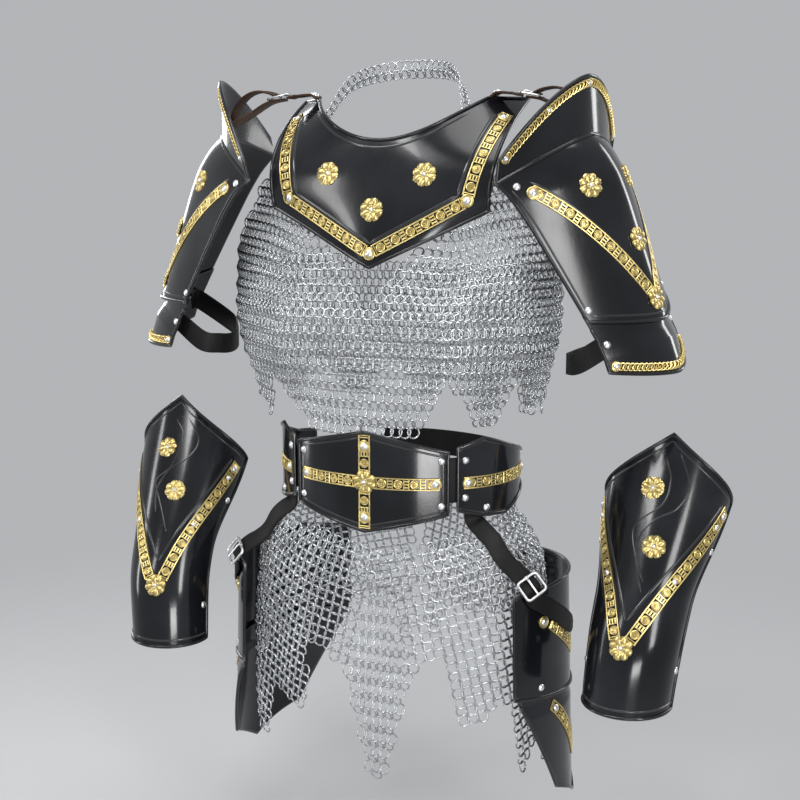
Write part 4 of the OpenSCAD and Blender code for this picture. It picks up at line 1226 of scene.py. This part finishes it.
class SUIT_OT_belt(bpy.types.Operator):
    """Builds the belt's plates with their gold, rivets, leather hinges and rear strap"""

    bl_idname = "mail_suit.belt"
    bl_label = "Belt"

    def execute(self, context):
        s = context.scene.mail_suit
        seat, edge = strip_seat(s), 36.2
        front = shell(Face(belt_front_f, 0.5, 0.02), np.linspace(-FRONT_HALF, FRONT_HALF, 61), 19, s)
        border = [bead(BELT.line(level(edge, lambda a, k=k: k * (front_high(a) - 5.5)), 81), 0.9)
                  for k in (-1, 1)]
        border += [bead(BELT.line(way((a, -28), (a, 28))), 0.9) for a in (-edge, edge)]
        make("belt_front_plate_form", [front, *border], "black_steel", "suit", "belt_front_plate")
        runs = [((-34.5, 0), (-4.4, 0)), ((4.4, 0), (34.5, 0)), ((0, 10), (0, 50)), ((0, -50), (0, -10))]
        tips = [(-32.5, 0), (32.5, 0), (0, 38), (0, -38)]
        cross = [trim(BELT, way(*run), s) for run in runs] + [studs(BELT, tips, part=seat)]
        make("belt_cross_form", [*cross, *flowers(BELT, [(0, 0)], s)], "gold_trim", "suit", "belt_cross",
             ["rivet_metal"])
        corners = [(a, z) for a in (-35.5, 35.5) for z in (-24, 24)]
        make("belt_rivets_form", [studs(BELT, corners), studs(BELT, tips, ON_STRIP)], "rivet_metal", "suit",
             "belt_rivets")
        hinge = strap_part(belt_line(np.linspace(33.5, 49.5, 12), 3.0, UNDER_BELT), 48)
        make("belt_hinges_form", [hinge, mirrored(hinge)], "black_leather", "suit", "belt_hinges")
        us = np.unique(np.concatenate([np.linspace(43.5, 115, 61), [57, 58, 74, 100, 102]]))
        plate = shell(Face(belt_side_f, 0.5, 0.02), us, 15, s)
        ends = [(49, 0), (101, 0)]
        gold = [trim(BELT, way((46.5, 0), (103, 0)), s), studs(BELT, ends, part=seat)]
        places = [(47.5, 24), (47.5, -16), (60, -29), (111, 11), (111, -11)]
        for side in SIDES:
            body = f"belt_side_{side}"
            sided(side, "belt_side_plate", [plate], "black_steel", body)
            sided(side, "belt_side_trim", gold, "gold_trim", body)
            sided(side, "belt_side_rivets", [studs(BELT, places), studs(BELT, ends, ON_STRIP)],
                  "rivet_metal", body)
        self.rear()
        return {"FINISHED"}

    def rear(self):
        """The strap and the buckle that close the belt behind."""
        out = mix(UNDER_BELT, 0, np.clip((np.linspace(0, 16, 80) - 1.4) / 3, 0, 1))
        band = belt_line(np.linspace(107, 207, 80), 0.0, out)
        make("belt_back_strap_form", [strap_part(band, 30, tip=14, holes=(70, 85, 100, 115))],
             "black_leather", "belt_side_left", "belt_back_strap")
        here = belt_at(np.array([210.0]), 0.0, 1.5)
        n = unit(here / [BELT_A**2, BELT_B**2, 1] * [1, 1, 0])
        along = -np.cross(np.array([UP]), n)
        inwards = mix(UNDER_BELT, 0, np.clip((10 - 2.4 - np.linspace(0, 10, 40)) / 3, 0, 1))
        tab = strap_part(belt_line(np.linspace(213, 253, 40), 0.0, inwards), 15)
        make("belt_back_buckle_form", [many(buckle(30), here, along, np.cross(n, along), n), (tab, 1)],
             "buckle_nickel", "belt_side_right", "belt_back_buckle", ["black_leather"])


BUCKLE = np.array([142.0, 6, 391])
TILT = 12.0
ALONG_Y = [0, 1, 0]


def under_buckle(x):
    return BUCKLE + np.array([x, 0, -x * math.tan(math.radians(TILT))])


def banded(points, across, count=60):
    """A soft line for a strap whose width lies along one direction."""
    path = curved(points, count)
    return Line(path, np.cross(heading(path), across))


def pinned(line, i, r, h):
    """A rivet head on top of a strap, at the place i of its line."""
    return facing(rivet_head(r, h), line.p[i] + line.n[i] * LEATHER_T / 2, line.n[i])


class SUIT_OT_shoulder_straps(bpy.types.Operator):
    """Builds the brown shoulder straps, their buckles and the straps of the pauldrons"""

    bl_idname = "mail_suit.shoulder_straps"
    bl_label = "Shoulder straps"

    def execute(self, context):
        short = banded([[99, 12, 393], [106, 11, 396.5], under_buckle(-20) + [0, 2, 0], under_buckle(-15),
                        under_buckle(-12)], ALONG_Y)
        x, z = np.array([[cos(TILT), 0, -sin(TILT)]]), np.array([[sin(TILT), 0, cos(TILT)]])
        clasp = many(buckle(20), BUCKLE + z * (LEATHER_T / 2 + 0.95), x, np.cross(z, x), z)
        lower = banded([under_buckle(-4), under_buckle(14), BUCKLE + [36, 0, -15],
                        HAUTE.at(-0.12, 0.15, -3.9)], ALONG_Y)
        tail = banded([BUCKLE + [3, 0, 4.2], BUCKLE + [12, 0, 8], [168, 5, 400.5], [181, 4, 396],
                       [192, 3, 385], [199, 2, 369]], ALONG_Y)
        straps = [strap_part(lower, 20), (pinned(lower, 48, r=3.4, h=2.2), 1), strap_part(tail, 18, tip=9)]
        for side in SIDES:
            body = f"shoulder_{side}"
            sided(side, "shoulder_strap", [strap_part(short, 20), (pinned(short, 10, r=4.6, h=3.0), 1)],
                  "brown_leather", "suit", ["rivet_metal"])
            sided(side, "shoulder_buckle", [clasp], "buckle_nickel", body)
            sided(side, "pauldron_strap", straps, "brown_leather", body, ["gold_trim"])
        return {"FINISHED"}


class SUIT_OT_pauldrons(bpy.types.Operator):
    """Builds the pauldrons: cops, standing neck guards, gold trims and rivets"""

    bl_idname = "mail_suit.pauldrons"
    bl_label = "Pauldrons"

    def execute(self, context):
        s = context.scene.mail_suit
        us = np.linspace(-1, 1, 91)
        cop, haute = shell(Face(cop_f), us, 61, s), shell(Face(haute_f), us, 21, s)
        ridge = [bead(COP.line(way((h * 0.79, -84), (h * 0.09, -208))), 1.2) for h in (-1, 1)]
        ridge += [bead(COP.line(way((h * 0.95, -86), (h * 0.95, -222))), 0.9) for h in (-1, 1)]
        ridge.append(bead(COP.line(level(0.95, lambda u: 6.5 - cop_low(u)), 90), 0.9))
        share = lambda u: 1 - 7 / np.linalg.norm(haute_f(u, 1.0) - haute_f(u, 0.0), axis=-1)
        ends = [(h * 0.83, -95) for h in (-1, 1)]
        tips = np.array([-0.93, -0.5, 0, 0.58, 0.93])
        spots = np.stack([tips, share(tips)], 1)
        gold = [chain(HAUTE, level(0.93, share), s, 120)]
        gold += [trim(COP, way((h * 0.83, -92), (h * 0.09, -221)), s, 60) for h in (-1, 1)]
        gold += [studs(COP, ends, part=strip_seat(s)), studs(HAUTE, spots[[0, -1]], part=chain_seat(s)),
                 *flowers(COP, [(0, -229), (0, -168), (-0.35, -104), (0.35, -104)], s)]
        heads = [studs(COP, [(h * u, a) for h in (-1, 1) for u, a in ((0.9, -84), (0.93, -220))]),
                 studs(COP, ends, ON_STRIP), studs(HAUTE, spots, ON_CHAIN, rivet_head(*SMALL_RIVET))]
        for side in SIDES:
            body = f"shoulder_{side}"
            sided(side, "pauldron_cop", [cop, *ridge], "black_steel", body)
            sided(side, "haute_piece", [haute], "black_steel", body)
            sided(side, "pauldron_trim", gold, "gold_trim", body, ["rivet_metal"])
            sided(side, "pauldron_rivets", heads, "rivet_metal", body)
        return {"FINISHED"}


class SUIT_OT_lames(bpy.types.Operator):
    """Builds the lower lames with their gold chains, rivets and arm straps"""

    bl_idname = "mail_suit.lames"
    bl_label = "Lames"

    def execute(self, context):
        s = context.scene.mail_suit
        lame = shell(Face(lame_f), np.linspace(-1, 1, 81), 41, s, tucked=0.74)
        tips, high = ([(u, over - lame_end(u)) for u in (-0.9, 0.9)] for over in (7, 30))
        gold = [chain(LAME, level(0.93, lambda u: 7 - lame_end(u)), s, 90),
                studs(LAME, tips, part=chain_seat(s))]
        heads = [studs(LAME, high), studs(LAME, tips, ON_CHAIN, rivet_head(*SMALL_RIVET))]
        inset = PLATE_T + PLAY + LEATHER_T / 2 + 22 * 0.19
        front, rear, front_in, rear_in = (LAME.at(u, 30 - lame_end(0.9), -inset)
                                          for u in (0.86, -0.86, 0.7, -0.7))
        loop = [rear_in, rear, [212, -58, 131], [198, -44, 127], [195, -24, 125], [200, 0, 126],
                [212, 24, 129], [232, 48, 137], front, front_in]
        strap = strap_part(banded(loop, UP, 120), 22)
        for side in SIDES:
            body = f"arm_lame_{side}"
            sided(side, "lame", [lame], "black_steel", body)
            sided(side, "lame_trim", gold, "gold_trim", body)
            sided(side, "lame_rivets", heads, "rivet_metal", body)
            sided(side, "arm_strap", [strap], "black_leather", body)
        return {"FINISHED"}


class SUIT_OT_tassets(bpy.types.Operator):
    """Builds the tassets: two plates each, gold strips, rivets and their straps"""

    bl_idname = "mail_suit.tassets"
    bl_label = "Tassets"

    def execute(self, context):
        s = context.scene.mail_suit
        us, mid = np.linspace(-1, 1, 73), TASSET_MID
        upper, lower = shell(Face(upper_f), us, 31, s), shell(Face(lower_f), us, 61, s, tucked=0.86)
        ends = [(mid + h * 31.5, -148) for h in (-1, 1)]
        upper_gold = [trim(TASSET, way((mid + h * 27, -152), (mid + h * 2.6, -197)), s) for h in (-1, 1)]
        upper_gold.append(studs(TASSET, ends, part=strip_seat(s)))
        lower_gold = [trim(LOWER, way((h * 0.62, -244), (h * 0.07, -318)), s) for h in (-1, 1)]
        upper_heads = [studs(TASSET, ends, ON_STRIP), studs(TASSET, [(mid + h * 33, -220) for h in (-1, 1)])]
        lower_heads = [studs(LOWER, [(h * 0.58, -249) for h in (-1, 1)], ON_STRIP)]
        straps = self.strap()
        for side in SIDES:
            high, low = f"tasset_{side}", f"tasset_low_{side}"
            sided(side, "tasset_upper", [upper], "black_steel", high)
            sided(side, "tasset_lower", [lower], "black_steel", low)
            sided(side, "tasset_upper_trim", upper_gold, "gold_trim", high)
            sided(side, "tasset_lower_trim", lower_gold, "gold_trim", low)
            sided(side, "tasset_upper_rivets", upper_heads, "rivet_metal", high)
            sided(side, "tasset_lower_rivets", lower_heads, "rivet_metal", low)
            sided(side, "tasset_strap", straps, "black_leather", high, ["buckle_nickel"])
        return {"FINISHED"}

    def strap(self):
        """The strap that comes from under the belt and down over the plate, with its buckle."""
        rise = 3.3
        points = [belt_at(53.5, -29, -5.7), belt_at(54.3, -42, -5.7)]
        points += [skirt_at(a - 6.3, float(z), -out)
                   for a, z, out in ((55.5, -51, 5.4), (57, -62, 5.5), (59, -82, 5.5))]
        points.append(tasset_at(60.5, -105, rise + 1))
        points += [tasset_at(62 + 32 * t, -118 - 53 * t, rise) for t in np.linspace(0, 1, 7)]
        path = curved(np.array([np.reshape(q, 3) for q in points]), 90)
        line = Line(path, unit(path / [TASSET_A**2, TASSET_B**2, 1] * [1, 1, 0]))
        x, n = heading(path)[44], line.n[44]
        clasp = many(buckle(20), path[44] + n * (LEATHER_T / 2 + 0.4), x, np.cross(n, x), n)
        return [strap_part(line, 20, tip=16, holes=[line.length - q for q in (18, 32, 46)]), (clasp, 1)]


# Rosettes and raised scrolls of each bracer, as places (degrees round it, millimetres up it)
BRACER_ART = {
    "left": ([(-8, 70), (-8, 216), (4.5, 163)],
             [[(-1.5, 244), (6, 224), (4, 203), (-12, 187), (-18.5, 173), (-9, 148), (2, 131)],
              [(9, 250), (22.5, 220), (17, 199), (-0.5, 187), (-11, 170), (-10, 149), (2, 122)]]),
    "right": ([(-8, 70), (6.5, 212), (-11.5, 168)],
              [[(1, 243), (-8.5, 225), (-1.5, 193), (13.5, 176), (3, 152), (-11, 126)],
               [(-12, 244), (-25, 222), (-20, 205), (0.5, 188), (11, 166), (8, 144)]]),
}


class SUIT_OT_bracers(bpy.types.Operator):
    """Builds the bracers with their gold strips, rosettes, rivets and straps"""

    bl_idname = "mail_suit.bracers"
    bl_label = "Bracers"

    def execute(self, context):
        s = context.scene.mail_suit
        plate = shell(Face(bracer_f, 0.01, 0.005), np.linspace(-1, 1, 73), 81, s)
        foot = bead(BRACER.line(level(88, lambda a: 7), 60), 1.0)
        brow = bead(BRACER.line(level(84, lambda a: 261 - 66 * (np.abs(a) / 80) ** 0.95), 90), 0.8)
        field = [bead(BRACER.line(way((h * 66, 197), (h * 1.2 - 8, 96)), 60), 1.2) for h in (-1, 1)]
        ways = [way((h * 75, 190), (h * 9 - 8, 77)) for h in (-1, 1)]
        ends = [(h * 73, 185) for h in (-1, 1)]
        gold = [*[trim(BRACER, run, s, 60) for run in ways], studs(BRACER, ends, part=strip_seat(s))]
        heads = [studs(BRACER, [(h * 84, z) for h in (-1, 1) for z in (40, 150)]),
                 studs(BRACER, ends, ON_STRIP),
                 studs(BRACER, [run(t) for run in ways for t in (0.12, 0.52)], 1.0, rivet_head(3.0, 2.0))]
        around = np.linspace(78, 282, 90)
        straps = []
        for z in (40.0, 150.0):
            line = Line(BRACER.at(around, z, -4.9), BRACER.normal(around, z))
            straps.append(strap_part(line, 16, holes=(110, 122, 134)))
        both = lambda parts: [(on(side, q), k) for side in SIDES for q, k in numbered(parts)]
        gold = both(gold)
        for side in SIDES:
            rosettes, scrolls = BRACER_ART[side]
            sided(side, "bracer_shell", [plate, foot, brow, *field, *map(self.scroll, scrolls)],
                  "black_steel", "suit")
            gold += [(on(side, q), k) for q, k in flowers(BRACER, rosettes, s)]
        make("bracer_trims_form", gold, "gold_trim", "suit", "bracer_trims", ["rivet_metal"])
        make("bracer_hardware_form", both(heads), "rivet_metal", "suit", "bracer_hardware")
        make("bracer_straps_form", both(straps), "black_leather", "suit", "bracer_straps")
        return {"FINISHED"}

    def scroll(self, places):
        """A raised curve that winds up the bracer between its gold strips."""
        path = curved([(a, h, 0) for a, h in places], 80)
        return bead(BRACER.line(lambda t: (path[:, 0], path[:, 1]), 80), 0.8)


# The lights' places, their widths and heights (all in metres) and their power in watts
LAMPS = {
    "key_light": ((-0.7, -1.35, 1.95), (0.85, 0.45), 20),
    "front_light": ((-1.35, -1.9, 0.9), (0.22, 1.0), 9),
    "right_light": ((1.63, -1.37, 0.67), (0.36, 1.3), 23),
    "low_light": ((0.75, -1.45, -0.33), (0.5, 0.2), 6),
    "left_light": ((-2.0, -0.5, 0.25), (0.18, 1.4), 9),
    "top_light": ((0.2, -0.2, 2.1), (1.6, 0.7), 17),
    "rear_light_left": ((-1.6, 1.3, 0.8), (0.4, 1.5), 12),
    "rear_light_right": ((1.3, 1.6, 0.9), (0.4, 1.5), 12),
}


def lamp(name, place, size, power):
    """A soft area light that faces the suit and isn't seen itself."""
    data = bpy.data.lights.new(name, "AREA")
    data.shape, data.size, data.size_y = "RECTANGLE", size[0], size[1]
    data.energy = power
    light = bpy.data.objects.new(name, data)
    light.location = place
    light.rotation_euler = (Vector((0, 0, 0.1)) - Vector(place)).to_track_quat("-Z", "Y").to_euler()
    light.visible_camera = False
    bpy.context.scene.collection.objects.link(light)


class SUIT_OT_stage(bpy.types.Operator):
    """Sets up the pale floor, the soft studio light and the camera"""

    bl_idname = "mail_suit.stage"
    bl_label = "Stage"

    def execute(self, context):
        scene = context.scene
        target, distance = Vector((0, 0, 0.068)), 1.45
        a, e = math.radians(21), math.radians(11)
        back = Vector((math.sin(a) * math.cos(e), -math.cos(a) * math.cos(e), math.sin(e)))
        data = bpy.data.cameras.new("camera")
        data.lens, data.sensor_width = 59.32, 36.0
        data.clip_start, data.clip_end = 0.05, 50.0
        camera = bpy.data.objects.new("camera", data)
        camera.location = target + distance * back
        camera.rotation_euler = (-back).to_track_quat("-Z", "Y").to_euler()
        scene.collection.objects.link(camera)
        scene.camera = camera
        scene.view_settings.view_transform = "Standard"
        for name, (place, size, power) in LAMPS.items():
            lamp(name, place, size, power)
        self.world(scene)
        self.floor()
        return {"FINISHED"}

    def world(self, scene):
        """A dim pale light on the suit, before a grey backdrop that shows to the camera and in the metal."""
        scene.world = bpy.data.worlds.new("studio")
        w = Tree(scene.world)
        seen = w.node("ShaderNodeBackground", {}, {"Color": (0.45, 0.46, 0.475, 1)})
        lit = w.node("ShaderNodeBackground", {}, {"Color": (0.9, 0.95, 1.0, 1), "Strength": 0.22})
        rays = w.nodes.new("ShaderNodeLightPath").outputs
        share, *more = (Num(w, rays[f"Is {kind} Ray"]) for kind in ("Camera", "Glossy", "Transmission"))
        for ray in more:
            share = share.math("MAXIMUM", share, ray)
        both = w.node("ShaderNodeMixShader", {}, [share, lit, seen])
        w.give(w.nodes.new("ShaderNodeOutputWorld").inputs[0], both)

    def floor(self):
        """A pale floor that fades out away from the suit."""
        p = Paint("pale_floor")
        cloud = p.noise(2.0)
        away = p.node("ShaderNodeVectorMath", {"operation": "LENGTH"}, [p.place], 1)
        p.set(Base_Color=p.blend(cloud, (0.54, 0.54, 0.55, 1), (0.58, 0.58, 0.59, 1)),
              Roughness=0.6 + 0.1 * cloud, Alpha=1 - away.ramp(0.55, 1.6))
        data = bpy.data.meshes.new("floor")
        n, size, height = 9, 6.0, -0.5
        line = size * (np.arange(n) / (n - 1) - 0.5)
        quads = [(k, k + 1, k + n + 1, k + n) for j in range(n - 1) for k in range(j * n, j * n + n - 1)]
        data.from_pydata([(x, y, height) for y in line for x in line], [], quads)
        data.materials.append(p.material)
        floor = bpy.data.objects.new("floor", data)
        bpy.context.scene.collection.objects.link(floor)
        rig.stage(floor)


STEPS = (SUIT_OT_gorget, SUIT_OT_mail_top, SUIT_OT_belt, SUIT_OT_mail_skirt, SUIT_OT_shoulder_straps,
         SUIT_OT_pauldrons, SUIT_OT_lames, SUIT_OT_tassets, SUIT_OT_bracers, SUIT_OT_stage)


class SUIT_PT_panel(bpy.types.Panel):
    """Lists the pieces of the suit and its settings"""

    bl_idname = "SUIT_PT_panel"
    bl_label = "Mail Suit"
    bl_space_type = "VIEW_3D"
    bl_region_type = "UI"
    bl_category = "Mail Suit"

    def draw(self, context):
        layout = self.layout
        for name in SuitSettings.__annotations__:
            layout.prop(context.scene.mail_suit, name)
        for step in STEPS:
            layout.operator(step.bl_idname)


def register():
    for kind in (SuitSettings, *STEPS, SUIT_PT_panel):
        bpy.utils.register_class(kind)
    bpy.types.Scene.mail_suit = bpy.props.PointerProperty(type=SuitSettings)


def unregister():
    del bpy.types.Scene.mail_suit
    for kind in reversed((SuitSettings, *STEPS, SUIT_PT_panel)):
        bpy.utils.unregister_class(kind)


def corners():
    low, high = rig.bounds()
    return [list(map(float, low)), list(map(float, high))]


def main():
    sizes = {"cad": corners()}
    register()
    for step in STEPS:
        group, name = step.bl_idname.split(".")
        getattr(getattr(bpy.ops, group), name)()
    sizes["scene"] = corners()
    with open("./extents.json", "w") as file:
        json.dump(sizes, file)


if __name__ == "__main__":
    main()
